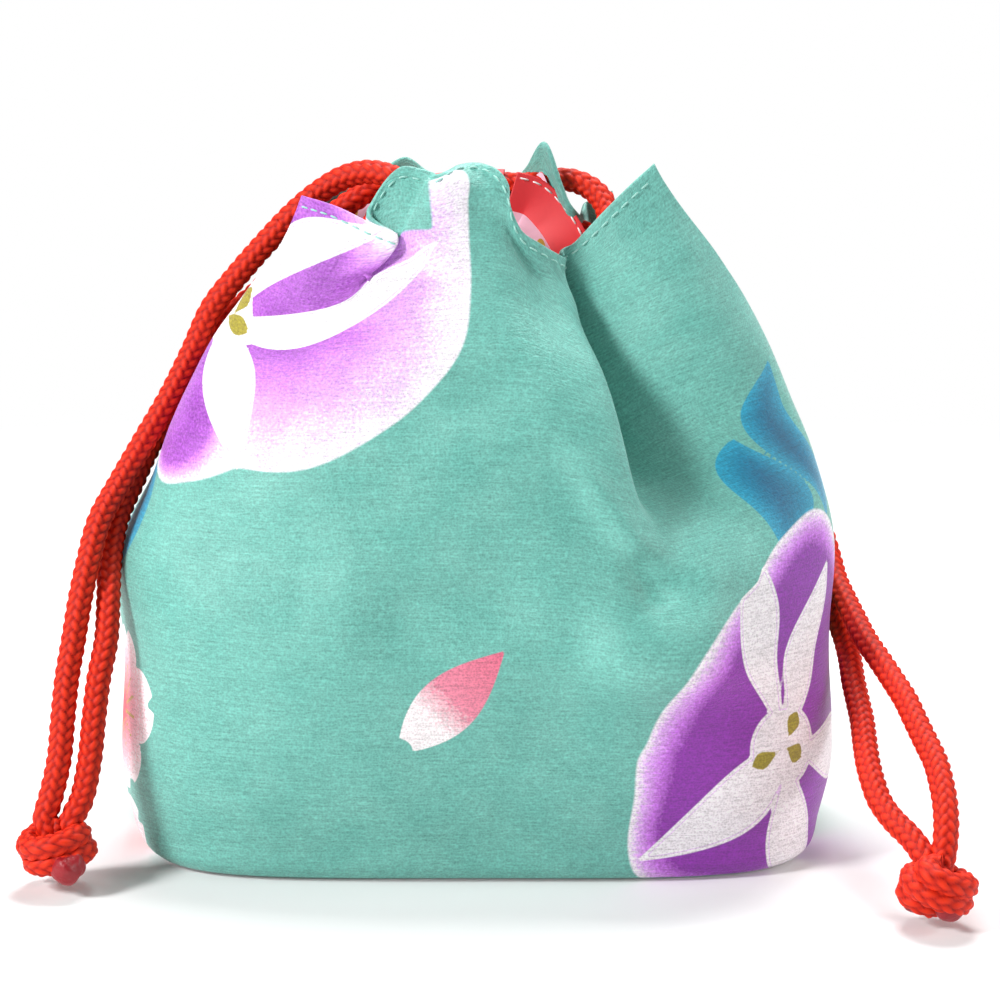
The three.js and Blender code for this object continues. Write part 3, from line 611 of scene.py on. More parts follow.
# Lining
# Thin plain-weave cotton, pink with small gold flecks: a bottom and two sides, hanging a little loose
# inside the crepe and sewn to it under the hem.
LINING_IN = 0.0019  # from the crepe's outer face in to the lining's
LINING = 0.0007  # its thickness
# Rows and columns of the panel's grid by which the lining stops short of its foot, hem and sides
LINING_FOOT, LINING_SIDE = 6, 5
LINING_TOP = {"front": 32, "back": 9}
LINING_BOTTOM_IN = 0.0045
# Share of the way out and height of each ring, as for the outer bottom
LINING_LEVELS = [(0.05, 0.0016), (0.5, 0.0016), (0.99, 0.0016), (1, 0.0018), (1, 0.0021)]
LINING_LEVELS += [(0.99, 0.0023), (0.5, 0.0023), (0.05, 0.0023)]

# Cotton lawn, roller printed with small gold flecks that are longer up the cloth than across. Quite matt.
lining_cotton, tree = new_material("printed_cotton_lawn_lining")
flat = add(tree, "UVMap", {}, uv_map="flat")
FLECKS = 0.19  # to a millimetre
LAWN_THREADS = 2.5  # to a millimetre; real lawn has about 4, drawn coarser so that they show
longer = add(tree, "VectorMath", {0: flat, 1: (1, 0.45, 1)}, operation="MULTIPLY")
flecks = add(tree, "TexVoronoi", {"Vector": longer, "Scale": 1000 * FLECKS, "Randomness": 0.9}, "Distance")
gold = add(tree, "Math", {0: flecks, 1: 0.26}, operation="LESS_THAN")
color = add(tree, "Mix", {0: gold, 6: linear("f7c6da"), 7: linear("c9a040")}, 2, data_type="RGBA")
weave = add(tree, "TexNoise", {"Vector": flat, "Scale": 1000 * LAWN_THREADS, "Detail": 1.0}, "Fac")
bump = add(tree, "Bump", {"Height": weave, "Strength": 0.6, "Distance": 0.00005})
shader = add(tree, "BsdfPrincipled", {
    "Base Color": color, "Roughness": 0.8, "Normal": bump,
    "Sheen Weight": 0.1, "Sheen Roughness": 0.4, "Specular IOR Level": 0.6,
})
add(tree, "OutputMaterial", {"Surface": shader})

for side in ("front", "back"):
    grid, flat = panels[side]
    keep = slice(LINING_FOOT, -LINING_TOP[side]), slice(LINING_SIDE, -LINING_SIDE)
    inside = (grid - normals(grid) * LINING_IN)[keep][::2, ::2]
    cloth = sheet(f"{side}_lining", inside, LINING, flat[keep][::2, ::2])
    cloth.data.materials.append(lining_cotton)
    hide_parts(f"{side}_lining", f"{side}_mouth_lining")
    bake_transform(cloth)

lining_bottom, edge = bottom_plate("lining_bottom", LINING_BOTTOM_IN, LINING_LEVELS)
lining_bottom.data.materials.append(lining_cotton)
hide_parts("lining_bottom")
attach(lining_bottom, "bag")

# Casings
# A strip of thin red cotton sewn as a channel inside each side of the mouth, holding both cords one
# above the other. The back one's strip goes on past its channel as a flat end that hangs in the fold.
CORD = 0.0056
LANE = 0.003  # how far each cord's middle lies above or below the casing's
CASING_WALL = 0.0005
CASING_CLEAR = 0.0001  # between a cord and the casing round it
HALF_BORE = CORD / 2 + CASING_CLEAR
# Each channel's middle from left to right as seen from the front
CASING_RUNS = {
    "front": [(-0.011, -0.0137, 0.144), (-0.005, -0.0139, 0.1426), (0, -0.014, 0.1402),
              (0.005, -0.014, 0.1368), (0.009, -0.0136, 0.133)],
    "back": [(-0.011, 0.0128, 0.145), (-0.005, 0.0136, 0.1458), (0.001, 0.014, 0.1462),
             (0.007, 0.0139, 0.1462), (0.012, 0.0136, 0.1462)],
}
CASING_STOP = {"front": 0.0055, "back": 0.0065}  # where each channel ends towards the right slit
# The flat end of the back casing's strip: the line of its middle, and its width
STRIP_END = [(0.008, 0.0099, 0.1478), (0.013, 0.0098, 0.1462), (0.017, 0.0082, 0.1425),
             (0.0205, 0.0054, 0.1375), (0.023, 0.0036, 0.1315)]
STRIP_WIDTH = 0.0094
# The lining under it: its height, how far it laps up behind the strip, where its upper edge lies and how far
# its lower edge puckers out
UNDER, UNDER_LAP, UNDER_BEHIND, UNDER_PUCKER = 0.014, 0.002, 0.0008, 0.0056


def curve(points, per=24):
    """Points along a centripetal Catmull-Rom curve through points, per of them to each span."""
    p = np.asarray(points, float)
    p = np.vstack([2 * p[0] - p[1], p, 2 * p[-1] - p[-2]])
    gap = np.linalg.norm(np.diff(p, axis=0), axis=1) ** 0.5
    w = np.linspace(0, 1, per, endpoint=False)[None, :, None]
    d0, d1, d2 = (gap[k : len(gap) - 2 + k][:, None] for k in range(3))
    x0, x1, x2, x3 = (p[k : len(p) - 3 + k] for k in range(4))
    t1 = ((x1 - x0) / d0 - (x2 - x0) / (d0 + d1) + (x2 - x1) / d1) * d1
    t2 = ((x2 - x1) / d1 - (x3 - x1) / (d1 + d2) + (x3 - x2) / d2) * d1
    x1, x2, t1, t2 = (a[:, None] for a in (x1, x2, t1, t2))
    dense = x1 + t1 * w + (3 * x2 - 3 * x1 - 2 * t1 - t2) * w**2 + (2 * x1 - 2 * x2 + t1 + t2) * w**3
    return np.vstack([dense.reshape(-1, 3), p[-2]])


def evenly(points, step):
    """The same line with its points step apart, and the distance of each from the start."""
    run = np.r_[0, np.cumsum(np.linalg.norm(np.diff(points, axis=0), axis=1))]
    at = np.linspace(0, run[-1], int(run[-1] / step) + 1)
    return np.stack([np.interp(at, run, points[:, k]) for k in range(3)], 1), at


def casing_frames(run):
    """The points of a run, and at each the way across the cloth and the way up it."""
    points = np.asarray(run, float)
    ahead = np.gradient(points, axis=0)
    ahead /= np.linalg.norm(ahead, axis=1, keepdims=True)
    side = np.array([0.0, 1.0, 0.0]) - ahead * ahead[:, [1]]
    side /= np.linalg.norm(side, axis=1, keepdims=True)
    return points, side, np.cross(ahead, side)


def slot_section(half_thick, half_tall, count=48):
    """A slot with round ends as points across and up, anticlockwise."""
    angle = np.linspace(0, 2 * np.pi, count, endpoint=False) + np.pi / count
    up = np.sin(angle) * half_thick + np.sign(np.sin(angle)) * (half_tall - half_thick)
    return np.stack([np.cos(angle) * half_thick, up], 1)


def swept(frames, section):
    """Rings of a section carried along frames."""
    points, side, up = frames
    return points[:, None] + side[:, None] * section[None, :, :1] + up[:, None] * section[None, :, 1:]


def sleeve(name, outer, inner):
    """A closed mesh between an outer and an inner set of rings."""
    rings = np.concatenate([outer, inner[::-1]])
    n, k = rings.shape[:2]
    i, j = np.meshgrid(np.arange(n), np.arange(k), indexing="ij")
    a, b = i * k + j, i * k + (j + 1) % k
    quads = np.stack([a, b, (b + k) % (n * k), (a + k) % (n * k)], -1).reshape(-1, 4)
    return new_mesh(name, rings.reshape(-1, 3), [quads])


# Plain cotton, dyed red: even and matt, with its threads just showing
red_cotton, tree = new_material("dyed_cotton_casing_strip")
STRIP_THREADS = 3  # to a millimetre
where = add(tree, "TexCoord", {}, "Object")
weave = add(tree, "TexNoise", {"Vector": where, "Scale": 1000 * STRIP_THREADS, "Detail": 1.0}, "Fac")
bump = add(tree, "Bump", {"Height": weave, "Strength": 0.5, "Distance": 0.00005})
shader = add(tree, "BsdfPrincipled", {
    "Base Color": linear("e8353c"), "Roughness": 0.6, "Normal": bump,
    "Sheen Weight": 0.15, "Sheen Roughness": 0.4, "Specular IOR Level": 0.6,
})
add(tree, "OutputMaterial", {"Surface": shader})

channels = {}
on_lining = {}
for side in ("front", "back"):
    line, _ = evenly(curve(CASING_RUNS[side]), 0.0004)
    channel = [part[line[:, 0] < CASING_STOP[side]] for part in casing_frames(line)]
    outer = swept(channel, slot_section(HALF_BORE + CASING_WALL, HALF_BORE + LANE + CASING_WALL))
    inner = swept(channel, slot_section(HALF_BORE, HALF_BORE + LANE))
    casing = sleeve(f"{side}_casing_channel", outer, inner)
    casing.data.materials.append(red_cotton)
    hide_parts(f"{side}_casing")
    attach(casing, f"{side}_mouth")
    channels[side] = channel
    on_lining[side] = [casing]


def strip_section(thickness, width):
    """The section of a flat strip, rounded at its edges, and where each of its points lies across it, from -1
    to 1."""
    across = np.r_[np.linspace(-1, 1, 25), np.linspace(1, -1, 25)]
    half = np.repeat([-0.5, 0.5], 25) * thickness * np.sqrt(1.02 - across**2)
    return np.stack([half, across * width / 2], 1), across


line, _ = evenly(curve(STRIP_END), 0.0003)
strip_line = casing_frames(line)
section, _ = strip_section(CASING_WALL, STRIP_WIDTH)
strip = skin("back_casing_strip_end", swept(strip_line, section[::-1]))
strip.data.materials.append(red_cotton)
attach(strip, "back_mouth")

# The lining that the strip is sewn to, which puckers out under its lower edge
section, across = strip_section(LINING, UNDER)
section += np.stack([UNDER_BEHIND - UNDER_PUCKER * (1 - across) / 2, 0 * across], 1)
section[:, 1] -= STRIP_WIDTH / 2 + UNDER / 2 - UNDER_LAP
pucker = skin("back_lining_under_strip", swept(strip_line, section[::-1]))
flat_map(pucker, coordinates(pucker)[:, ::2])
pucker.data.materials.append(lining_cotton)
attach(pucker, "back_mouth")

# Threads
# Polyester sewing thread: mint along each hem, a little below the fold, and white along each casing.
STITCH = 0.0024  # length of one stitch on the face of the cloth
STITCH_PITCH = 0.0031
STITCH_START = 0.0008  # from the end of a row to its first stitch
THREAD = 0.00042
HEM_STITCH_DROP = 0.0024
# Rows of the panel's grid from the hem down to its stitches, and columns in from its sides
HEM_ROW, HEM_SIDE = 8, 4
CASING_STITCH_UP = 0.002  # from the channel's middle
STRIP_STITCH_IN = 0.0012  # from the strip's upper edge


def stitches(name, line, out):
    """Stitches along a line, on the side of it that out points to: each is a short thread that rises out of
    the cloth and goes back in as half a sine wave, six-sided, thinner at both ends."""
    run = np.r_[0, np.cumsum(np.linalg.norm(np.diff(line, axis=0), axis=1))]
    t = np.linspace(0, 1, 7)
    at = np.arange(STITCH_START, run[-1] - STITCH, STITCH_PITCH)[:, None] + t * STITCH
    spot, away = (np.stack([np.interp(at, run, a[:, k]) for k in range(3)], -1) for a in (line, out))
    ahead = np.gradient(spot, axis=1)
    side = np.cross(ahead, away)
    side /= np.linalg.norm(side, axis=-1, keepdims=True)
    lift = THREAD * (1.1 * np.sin(np.pi * t) - 0.45)
    spot = spot + away * lift[None, :, None]
    angle = np.linspace(0, 2 * np.pi, 6, endpoint=False)
    radius = THREAD / 2 * np.sqrt(np.clip(1 - np.abs(2 * t - 1) ** 6, 0.1, 1))[None, :, None, None]
    ring = np.cos(angle)[:, None] * side[:, :, None] + np.sin(angle)[:, None] * away[:, :, None]
    rings = (spot[:, :, None] + ring * radius)[:, :, ::-1]
    count, n, k = rings.shape[:3]
    base = np.arange(count)[:, None, None] * n * k
    i, j = np.meshgrid(np.arange(n - 1), np.arange(k), indexing="ij")
    a, b = i * k + j, i * k + (j + 1) % k
    quads = (np.stack([a, b, b + k, a + k], -1)[None] + base[..., None]).reshape(-1, 4)
    cap = np.arange(k)
    ends = np.concatenate([cap[::-1][None] + base[:, 0], (n - 1) * k + cap[None] + base[:, 0]])
    return new_mesh(name, rings.reshape(-1, 3), [quads, ends])


# Spun polyester sewing thread: smooth, with a slight gloss
threads = {}
for dye, color in (("mint", "a5dbd0"), ("white", "f4f2f2")):
    threads[dye], tree = new_material(f"polyester_thread_{dye}")
    sockets = {"Base Color": linear(color), "Roughness": 0.55, "Specular IOR Level": 0.4}
    add(tree, "OutputMaterial", {"Surface": add(tree, "BsdfPrincipled", sockets)})


def below_hem(grid, drop):
    """The line a distance down each column of a grid from its top."""
    step = np.linalg.norm(np.diff(grid, axis=0), axis=-1)
    run = np.concatenate([np.zeros((1, grid.shape[1])), np.cumsum(step[::-1], 0)], 0)
    turned = grid[::-1]
    return np.array([[np.interp(drop, run[:, c], turned[:, c, k]) for k in range(3)]
                     for c in range(grid.shape[1])])


for side in ("front", "back"):
    grid, _ = panels[side]
    line, out = below_hem(grid, HEM_STITCH_DROP), normals(grid)[-HEM_ROW]
    row = stitches(f"{side}_hem_stitches", line[HEM_SIDE:-HEM_SIDE], out[HEM_SIDE:-HEM_SIDE])
    row.data.materials.append(threads["mint"])
    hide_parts(f"{side}_hem_thread")
    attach(row, f"{side}_mouth")
    cloth, size = sheets[side]
    to_mouth = 1 if side == "front" else -1
    points, across, up = channels[side]
    line = points + across * to_mouth * (HALF_BORE + CASING_WALL) + up * CASING_STITCH_UP
    row = stitches(f"{side}_casing_stitches", line, across * to_mouth)
    row.data.materials.append(threads["white"])
    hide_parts(f"{side}_casing_thread")
    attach(row, f"{side}_mouth")
    on_lining[side].append(row)

points, across, up = strip_line
line = points - across * CASING_WALL * 0.45 + up * (STRIP_WIDTH / 2 - STRIP_STITCH_IN)
row = stitches("strip_end_stitches", line, -across)
row.data.materials.append(threads["white"])
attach(row, "back_mouth")
on_lining["back"] += [strip, pucker, row]

# Cords
# Two round braids of orange-red polyester, eight plaits each way. Each leaves by the slit on its own
# side, goes through both casings in its lane, turns round at the far slit, and its two runs come down
# the bag's side to one knot. A route is a list of points along the cord's middle, outside the casings.

# From each end of a casing out through the slit
EXITS = {
    "left_front": [
        (-0.014, -0.013, 0.1496), (-0.018, -0.011, 0.1524), (-0.0235, -0.008, 0.1536),
        (-0.0295, -0.005, 0.1523), (-0.036, -0.0022, 0.1484),
    ],
    "left_back": [
        (-0.0145, 0.013, 0.1497), (-0.0185, 0.0108, 0.15), (-0.0235, 0.008, 0.1489),
        (-0.029, 0.0072, 0.1456), (-0.035, 0.0074, 0.1408),
    ],
    "right_front": [
        (0.011, -0.013, 0.1272), (0.0155, -0.0106, 0.1244), (0.0215, -0.0068, 0.1236),
        (0.0285, -0.0038, 0.1252), (0.035, -0.0022, 0.127),
    ],
    "right_back": [
        (0.0165, 0.013, 0.1426), (0.022, 0.0109, 0.1398), (0.0275, 0.0084, 0.1366),
        (0.0325, 0.0066, 0.1338), (0.038, 0.0058, 0.132),
    ],
}
# Round the far slit from the front casing to the back one
TURNS = {
    "left": [
        (0.0135, -0.0108, 0.1334), (0.0188, -0.0070, 0.1326), (0.0245, -0.0034, 0.1342),
        (0.029, 0.0005, 0.1382), (0.03, 0.0064, 0.1438), (0.0266, 0.0112, 0.1482),
        (0.021, 0.0134, 0.1502),
    ],
    "right": [
        (-0.0152, -0.013, 0.1415), (-0.0194, -0.0102, 0.1416), (-0.0222, -0.0056, 0.1418),
        (-0.0232, 0, 0.142), (-0.0222, 0.0058, 0.1423), (-0.0192, 0.0106, 0.1426),
        (-0.015, 0.0132, 0.1428),
    ],
}
# On from there to the hinge, where the cord can bend down
LEADS = {
    "left_front": [(-0.0415, -0.0008, 0.1438), (-0.0468, 0, 0.1384)],
    "left_back": [(-0.0395, 0.0068, 0.1364), (-0.044, 0.006, 0.1317)],
    "right_front": [(0.0425, -0.001, 0.1274), (0.05, 0.0002, 0.1256)],
    "right_back": [(0.0434, 0.0049, 0.1312), (0.0488, 0.005, 0.129)],
}
# From there down the bag's side to the knot
TAILS = {
    "left_front": [
        (-0.0548, 0.0003, 0.1295), (-0.0608, 0, 0.1219), (-0.0654, -0.0015, 0.112),
        (-0.0704, -0.005, 0.102), (-0.0758, -0.0095, 0.0928), (-0.0806, -0.015, 0.0845),
        (-0.0848, -0.0214, 0.0767), (-0.0868, -0.0265, 0.0685), (-0.0883, -0.031, 0.0603),
        (-0.0894, -0.035, 0.0521), (-0.0906, -0.0385, 0.0439), (-0.0912, -0.042, 0.0357),
        (-0.0918, -0.045, 0.0274), (-0.0936, -0.048, 0.019), (-0.0945, -0.0492, 0.0156),
    ],
    "left_back": [
        (-0.05, 0.0054, 0.1254), (-0.0584, 0.0052, 0.1178), (-0.0618, 0.0046, 0.1105),
        (-0.066, 0.0036, 0.104), (-0.07, 0.0015, 0.0983), (-0.075, -0.003, 0.0912),
        (-0.0786, -0.009, 0.0834), (-0.0818, -0.0153, 0.0752), (-0.0827, -0.0216, 0.067),
        (-0.0824, -0.028, 0.0596), (-0.0824, -0.033, 0.0517), (-0.0837, -0.0375, 0.0436),
        (-0.0845, -0.041, 0.0354), (-0.0852, -0.044, 0.0271), (-0.0868, -0.0468, 0.019),
        (-0.0885, -0.0488, 0.0156),
    ],
    "right_front": [
        (0.0556, 0.0012, 0.1224), (0.0602, 0.0034, 0.117), (0.062, 0.007, 0.111),
        (0.0644, 0.0106, 0.105), (0.0686, 0.0134, 0.099), (0.0728, 0.016, 0.0928),
        (0.076, 0.018, 0.0866), (0.0783, 0.0194, 0.0804), (0.0801, 0.0198, 0.0746),
        (0.0813, 0.0188, 0.0696), (0.0828, 0.0154, 0.0646), (0.0839, 0.011, 0.0603),
        (0.0846, 0.005, 0.0568), (0.086, -0.002, 0.0536), (0.0876, -0.009, 0.0504),
        (0.0892, -0.016, 0.0474), (0.0915, -0.023, 0.0444), (0.0937, -0.0295, 0.0414),
        (0.0957, -0.036, 0.0385), (0.097, -0.042, 0.0356), (0.0984, -0.048, 0.0326),
        (0.0997, -0.054, 0.0298), (0.1002, -0.0595, 0.0268), (0.1004, -0.064, 0.0237),
        (0.1002, -0.0678, 0.0204), (0.0997, -0.0706, 0.0172), (0.0992, -0.0722, 0.0147),
    ],
    "right_back": [
        (0.0538, 0.0068, 0.1258), (0.0568, 0.011, 0.1206), (0.058, 0.0152, 0.1148),
        (0.06, 0.019, 0.1088), (0.0639, 0.0223, 0.1024), (0.0671, 0.0249, 0.096),
        (0.0698, 0.0265, 0.0896), (0.0733, 0.0275, 0.0832), (0.0762, 0.0275, 0.0768),
        (0.0787, 0.0264, 0.0706), (0.0807, 0.024, 0.0648), (0.0824, 0.0198, 0.0596),
        (0.0835, 0.015, 0.0556), (0.0842, 0.01, 0.0521), (0.0847, 0.005, 0.0488),
        (0.086, -0.003, 0.0443), (0.0864, -0.01, 0.0411), (0.0863, -0.017, 0.0382),
        (0.0865, -0.024, 0.0353), (0.0867, -0.031, 0.0325), (0.0865, -0.0375, 0.0297),
        (0.0864, -0.044, 0.0268), (0.0868, -0.05, 0.024), (0.0878, -0.0555, 0.0211),
        (0.09, -0.061, 0.0186), (0.0928, -0.066, 0.0166), (0.0949, -0.0702, 0.0143),
    ],
}
KNOTS = {"left": (-0.0918, -0.051, 0.0092), "right": (0.0973, -0.0762, 0.0088)}
KNOT_ENTRY = 0.0115  # height at which a run goes down into its knot
KNOT_REACH = 0.55  # how far it has come by then from its last point to the knot's middle, across the floor
# The pieces that each cord is shown as, in their order along it
CORD_PARTS = ["front_run", "front_lead", "front_lane", "back_lane", "back_lead", "back_run"]
PLAITS = 8  # each way round the cord
PLAIT_LENGTH = 0.0025
RING_STEP = 0.00036
RING_POINTS = 44
TO_BEND = 12  # rings from the end of a lead to where its run is cut off
# Distances from the bag's middle at which a lane begins and ends; they are made into points at the lane's
# height but not used
LANE_BEND = {"front": (0.002, 0.0125), "back": (0.0078, 0.0125)}
LANE_LEVEL = 0.14

# Braided polyester filament with little shine. Its red is painted light where a plait stands up and painted
# shade between the plaits
cord_braid, tree = new_material("braided_polyester_cord")
CORD_FIBRES = 2.6  # to a millimetre, drawn coarser than real filaments so that they show
lie = add(tree, "Attribute", {}, "Fac", attribute_name="plait")
where = add(tree, "TexCoord", {}, "Object")
fuzz = add(tree, "TexNoise", {"Vector": where, "Scale": 1000 * CORD_FIBRES, "Detail": 2.0}, "Fac")
# Painted light and shade: the lower a point lies on its plait, the darker the red the ramp gives it
deep = add(tree, "Math", {0: lie, 1: 0.12}, operation="SUBTRACT")
deep = add(tree, "Math", {0: fuzz, 1: 0.25, 2: deep}, operation="MULTIPLY_ADD")
color = add(tree, "ValToRGB", {"Fac": deep}, stops=[(0.05, "5e0702"), (0.45, "c41d08"), (0.95, "ec3412")])
bump = add(tree, "Bump", {"Height": fuzz, "Strength": 0.6, "Distance": 0.00008})
sockets = {"Base Color": color, "Roughness": 0.6, "Normal": bump, "Specular IOR Level": 0.25}
add(tree, "OutputMaterial", {"Surface": add(tree, "BsdfPrincipled", sockets)})


def frames_along(line):
    """Two ways square to a line at each of its points, turning with it and not about it: each is the one
    before it less what of it runs along the line."""
    ahead = np.gradient(line, axis=0)
    ahead /= np.linalg.norm(ahead, axis=1, keepdims=True)
    side = np.zeros_like(line)
    last = np.cross(ahead[0], [0.3, 0.9, 0.1])
    for i, way in enumerate(ahead):
        last = last - way * (last @ way)
        last = last / np.linalg.norm(last)
        side[i] = last
    return side, np.cross(ahead, side)


def braid_rings(line, run, diameter):
    """Rings of a braided tube, and how high each point lies on its plait, 0 to 1. Plaits wind both ways
    round the cord, each over two of the others and then under two. A plait is half an ellipse across and
    half a cosine wave along what shows of it."""
    side, up = frames_along(line)
    angle = np.linspace(0, 2 * np.pi, RING_POINTS, endpoint=False)
    a, b = PLAITS * angle[None] / (2 * np.pi), run[:, None] / PLAIT_LENGTH
    u, v = a + b, a - b
    top = (np.floor(u) + np.floor(v)) % 4 < 2
    x = np.where(top, u % 1, v % 1) - 0.5
    y = np.where(top, (np.floor(u) + v) % 4, (u + np.floor(v)) % 4 - 2) / 2 - 0.5
    high = np.sqrt(np.clip(1 - (1.9 * x) ** 2, 0, 1)) * (0.3 + 0.7 * np.cos(np.pi * y))
    radius = diameter / 2 * (0.8 + 0.22 * high)
    around = side[:, None] * np.cos(angle)[None, :, None] + up[:, None] * np.sin(angle)[None, :, None]
    return line[:, None] + around * radius[..., None], high


def braided(name, rings, high):
    """A closed length of braid through its rings, which keeps how high each point lies on its plait."""
    obj = skin(name, rings)
    lie = obj.data.attributes.new("plait", "FLOAT", "POINT")
    lie.data.foreach_set("value", np.r_[high.ravel(), 0.4, 0.4].astype(np.float32))
    obj.data.materials.append(cord_braid)
    return obj


cords = {"left": [], "right": []}
for side, lane in (("left", LANE), ("right", -LANE)):
    lanes = {}
    for which in ("front", "back"):
        points, across, up = casing_frames(CASING_RUNS[which])
        lanes[which] = points + up * lane
    turned = "back" if side == "left" else "front"
    lanes[turned] = lanes[turned][::-1]
    slit, hinge, down = {}, {}, {}
    for which in ("front", "back"):
        out, lead, tail = (table[f"{side}_{which}"] for table in (EXITS, LEADS, TAILS))
        slit[which], hinge[which] = np.array(out[-1]), np.array(lead[-1])
        over = np.array(tail[-1]) * (1 - KNOT_REACH) + np.array(KNOTS[side]) * KNOT_REACH
        down[which] = [*out, *lead, *tail, (over[0], over[1], KNOT_ENTRY)]
    route = [*down["front"][::-1], *lanes["front"], *TURNS[side], *lanes["back"], *down["back"]]
    line, run = evenly(curve(route), RING_STEP)
    rings, high = braid_rings(line, run, CORD)

    half_way = min(TURNS[side], key=lambda spot: abs(spot[1]))
    marks = np.array([hinge["front"], slit["front"], half_way, slit["back"], hinge["back"]])
    cuts = [int(np.argmin(np.linalg.norm(line - mark, axis=1))) for mark in marks]
    cuts = [0, cuts[0] + TO_BEND, *cuts[1:4], cuts[4] - TO_BEND, len(line) - 1]
    made = {}
    for name, a, b in zip(CORD_PARTS, cuts, cuts[1:]):
        made[name] = braided(f"{side}_cord_{name}", rings[a : b + 1], high[a : b + 1])
    for which, outward in (("front", -1), ("back", 1)):
        start, stop = ((0, outward * far, LANE_LEVEL) for far in LANE_BEND[which])
        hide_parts(f"{side}_cord_loop")
        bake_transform(made[f"{which}_lane"])
        lead, tail = made[f"{which}_lead"], made[f"{which}_run"]
        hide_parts(f"{side}_{which}_cord_lead")
        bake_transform(lead)
        path = line[: cuts[1] + 1][::-1] if which == "front" else line[cuts[5] :]
        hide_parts(f"{side}_{which}_cord_tail")
        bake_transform(tail)
        length = float(np.linalg.norm(np.diff(path, axis=0), axis=1).sum())
        cords[side].append((tail, lead, round(length, 4), [*path[::6].tolist(), path[-1].tolist()]))

# Knots and fused ends
# Each cord's two runs are tied together and pulled tight, and the two cut ends below the knot are melted
# so that they don't fray.
KNOT_TURNS = 2.4
KNOT_WRAP = 0.0056  # from the knot's middle out to the middle of the cord wound round it
KNOT_TOP, KNOT_HEIGHT = 0.0044, 0.0086  # above its middle, and from its first turn down to its last
KNOT_TUCK = 0.14  # share of the winding over which it comes out of the knot's heart, and goes back into it
KNOT_LIE = {"left": (-20, 0.6), "right": (16, 2.2)}  # how far it leans in degrees, where its winding starts
# Each fused end as the place where it leaves the knot and the place where it stops
FUSED_ENDS = {
    "left": [
        ((-0.0868, -0.0540, 0.0080), (-0.0903, -0.0600, 0.0054)),
        ((-0.0925, -0.0490, 0.0058), (-0.0985, -0.0455, 0.0042)),
    ],
    "right": [
        ((0.0975, -0.0765, 0.0075), (0.1010, -0.0820, 0.0048)),
        ((0.0960, -0.0730, 0.0058), (0.0915, -0.0700, 0.0042)),
    ],
}
FUSED = 0.0066
FUSED_TIP, TIP_ROUND = 0.72, 0.285  # where along its length its tip begins to round off, and how far it does
FUSED_ROOT, ROOT_ROUND = 0.3, 0.305  # where its root has filled out, and over how much of its length

# Melted polyester: darker than the braid, lumpy and half glossy, because it ran together before it set
melted, tree = new_material("melted_polyester_cord_end")
LUMPS = 0.9  # to a millimetre
where = add(tree, "TexCoord", {}, "Object")
lumps = add(tree, "TexNoise", {"Vector": where, "Scale": 1000 * LUMPS, "Detail": 2.0}, "Fac")
bump = add(tree, "Bump", {"Height": lumps, "Strength": 0.8, "Distance": 0.0003})
sockets = {"Base Color": linear("9c1420"), "Roughness": 0.42, "Normal": bump}
add(tree, "OutputMaterial", {"Surface": add(tree, "BsdfPrincipled", sockets)})


def knot_line(side):
    """The cord's middle as it is wound: turns round a leaning axis from the top down, which begin and end
    in the knot's heart."""
    lean, first = KNOT_LIE[side]
    t = np.linspace(0, 1, 400)
    angle = 2 * np.pi * KNOT_TURNS * t + first
    reach = KNOT_WRAP * smooth(t / KNOT_TUCK) * smooth((1 - t) / KNOT_TUCK)
    x, y, z = reach * np.cos(angle), reach * np.sin(angle), KNOT_TOP - KNOT_HEIGHT * t
    s, c = np.sin(np.radians(lean)), np.cos(np.radians(lean))
    return np.stack([x * c + z * s, y, z * c - x * s], 1) + KNOTS[side]


def fused_rings(start, stop, k):
    """Rings of a melted end: a rod from start to stop whose radius follows a quarter circle at each end and
    swells and sinks a little in a threefold wave, another for each number k."""
    t = np.linspace(0, 1, 40)
    line = start + (stop - start) * t[:, None]
    one, two = frames_along(line)
    angle = np.linspace(0, 2 * np.pi, 32, endpoint=False)
    tip = np.clip((t - FUSED_TIP) / TIP_ROUND, 0, 1)
    root = np.clip((FUSED_ROOT - t) / ROOT_ROUND, 0, 1)
    radius = FUSED / 2 * (np.sqrt(1 - tip**2) * np.sqrt(1 - root**2))[:, None]
    radius = radius * (1 + 0.05 * np.sin(3 * angle + 9 * t[:, None] + k))
    around = one[:, None] * np.cos(angle)[None, :, None] + two[:, None] * np.sin(angle)[None, :, None]
    return line[:, None] + around * radius[..., None]


for side in ("left", "right"):
    line, run = evenly(knot_line(side), RING_STEP)
    knot = braided(f"{side}_cord_knot", *braid_rings(line, run, CORD))
    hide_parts(f"{side}_knot")
    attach(knot, f"{side}_tails")
    for k, (start, stop) in enumerate(FUSED_ENDS[side], 1):
        end = skin(f"{side}_cord_fused_end_{k}", fused_rings(np.array(start), np.array(stop), k))
        end.data.materials.append(melted)
        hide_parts(f"{side}_cord_end_{k}")
        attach(end, f"{side}_tails")

# Floor, light and camera
# A white table that goes over into a white backdrop, under a small soft lamp high on the left, a larger one
# overhead and a weak one from the right. The camera looks down by 11 degrees from 65 cm.
FLOOR_REACH = 6
floor = new_mesh("floor", FLOOR_REACH * np.array([(-1, -1, 0), (1, -1, 0), (1, 1, 0), (-1, 1, 0)]),
                 [np.array([(0, 1, 2, 3)])])
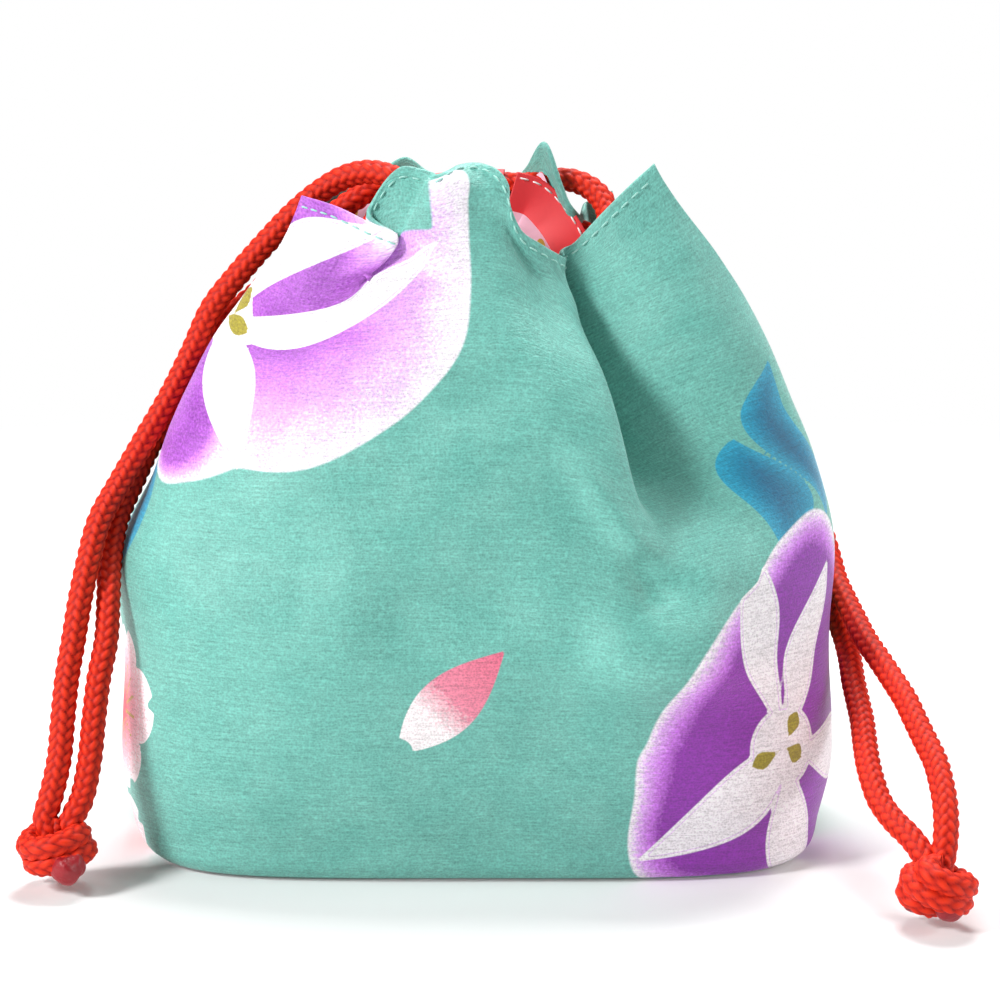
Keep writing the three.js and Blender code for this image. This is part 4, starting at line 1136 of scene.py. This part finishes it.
# White acrylic: pale and matt, lit through a little, and going over to pure white from 25 to 60 cm out
table, tree = new_material("white_acrylic_table")
WHITE = (1, 1, 1, 1)
lit = add(tree, "BsdfDiffuse", {"Color": (0.8, 0.8, 0.8, 1)})
glow = add(tree, "Emission", {"Color": WHITE, "Strength": 0.08})
near = add(tree, "AddShader", {0: lit, 1: glow})
where = add(tree, "TexCoord", {}, "Object")
distance = add(tree, "VectorMath", {0: where}, "Value", operation="LENGTH")
away = add(tree, "MapRange", {"Value": distance, "From Min": 0.25, "From Max": 0.6})
far = add(tree, "Emission", {"Color": WHITE, "Strength": 1.0})
add(tree, "OutputMaterial", {"Surface": add(tree, "MixShader", {0: away, 1: near, 2: far})})
floor.data.materials.append(table)

world = bpy.data.worlds.new("white_studio")
world.use_nodes = True
world.node_tree.nodes.clear()
tree = world.node_tree
fill = add(tree, "Background", {"Color": WHITE, "Strength": 0.14})
backdrop = add(tree, "Background", {"Color": WHITE, "Strength": 1.0})
seen = add(tree, "LightPath", {}, "Is Camera Ray")
add(tree, "OutputWorld", {"Surface": add(tree, "MixShader", {0: seen, 1: fill, 2: backdrop})})
bpy.context.scene.world = world

# Each lamp's place, the side of its square and its power; all face the bag's middle
LAMPS = {
    "key": ((-0.95, -0.55, 0.78), 0.3, 17.0),
    "overhead": ((0.1, 0.45, 1.1), 0.5, 14.5),
    "right_side": ((1.05, -0.1, 0.5), 0.35, 4.5),
}
LAMPS_FACE = Vector((0, 0, 0.07))
for name, (place, size, power) in LAMPS.items():
    lamp = bpy.data.lights.new(name, "AREA")
    lamp.size, lamp.energy = size, power
    holder = bpy.data.objects.new(name, lamp)
    bpy.context.scene.collection.objects.link(holder)
    holder.location = place
    holder.rotation_euler = (LAMPS_FACE - Vector(place)).to_track_quat("-Z", "Y").to_euler()

CAMERA_LENS, SENSOR = 100.6, 36
CAMERA_FACES = (0.0053, 0, 0.077)
CAMERA_AWAY, CAMERA_DOWN = 0.65, np.radians(11)
camera = bpy.data.cameras.new("camera")
camera.lens, camera.sensor_width = CAMERA_LENS, SENSOR
eye = bpy.data.objects.new("camera", camera)
bpy.context.scene.collection.objects.link(eye)
back, rise = CAMERA_AWAY * np.cos(CAMERA_DOWN), CAMERA_AWAY * np.sin(CAMERA_DOWN)
eye.location = Vector(CAMERA_FACES) + Vector((0, -back, rise))
eye.rotation_euler = (np.pi / 2 - CAMERA_DOWN, 0, 0)
bpy.context.scene.camera = eye
bpy.context.scene.view_settings.view_transform = "Standard"
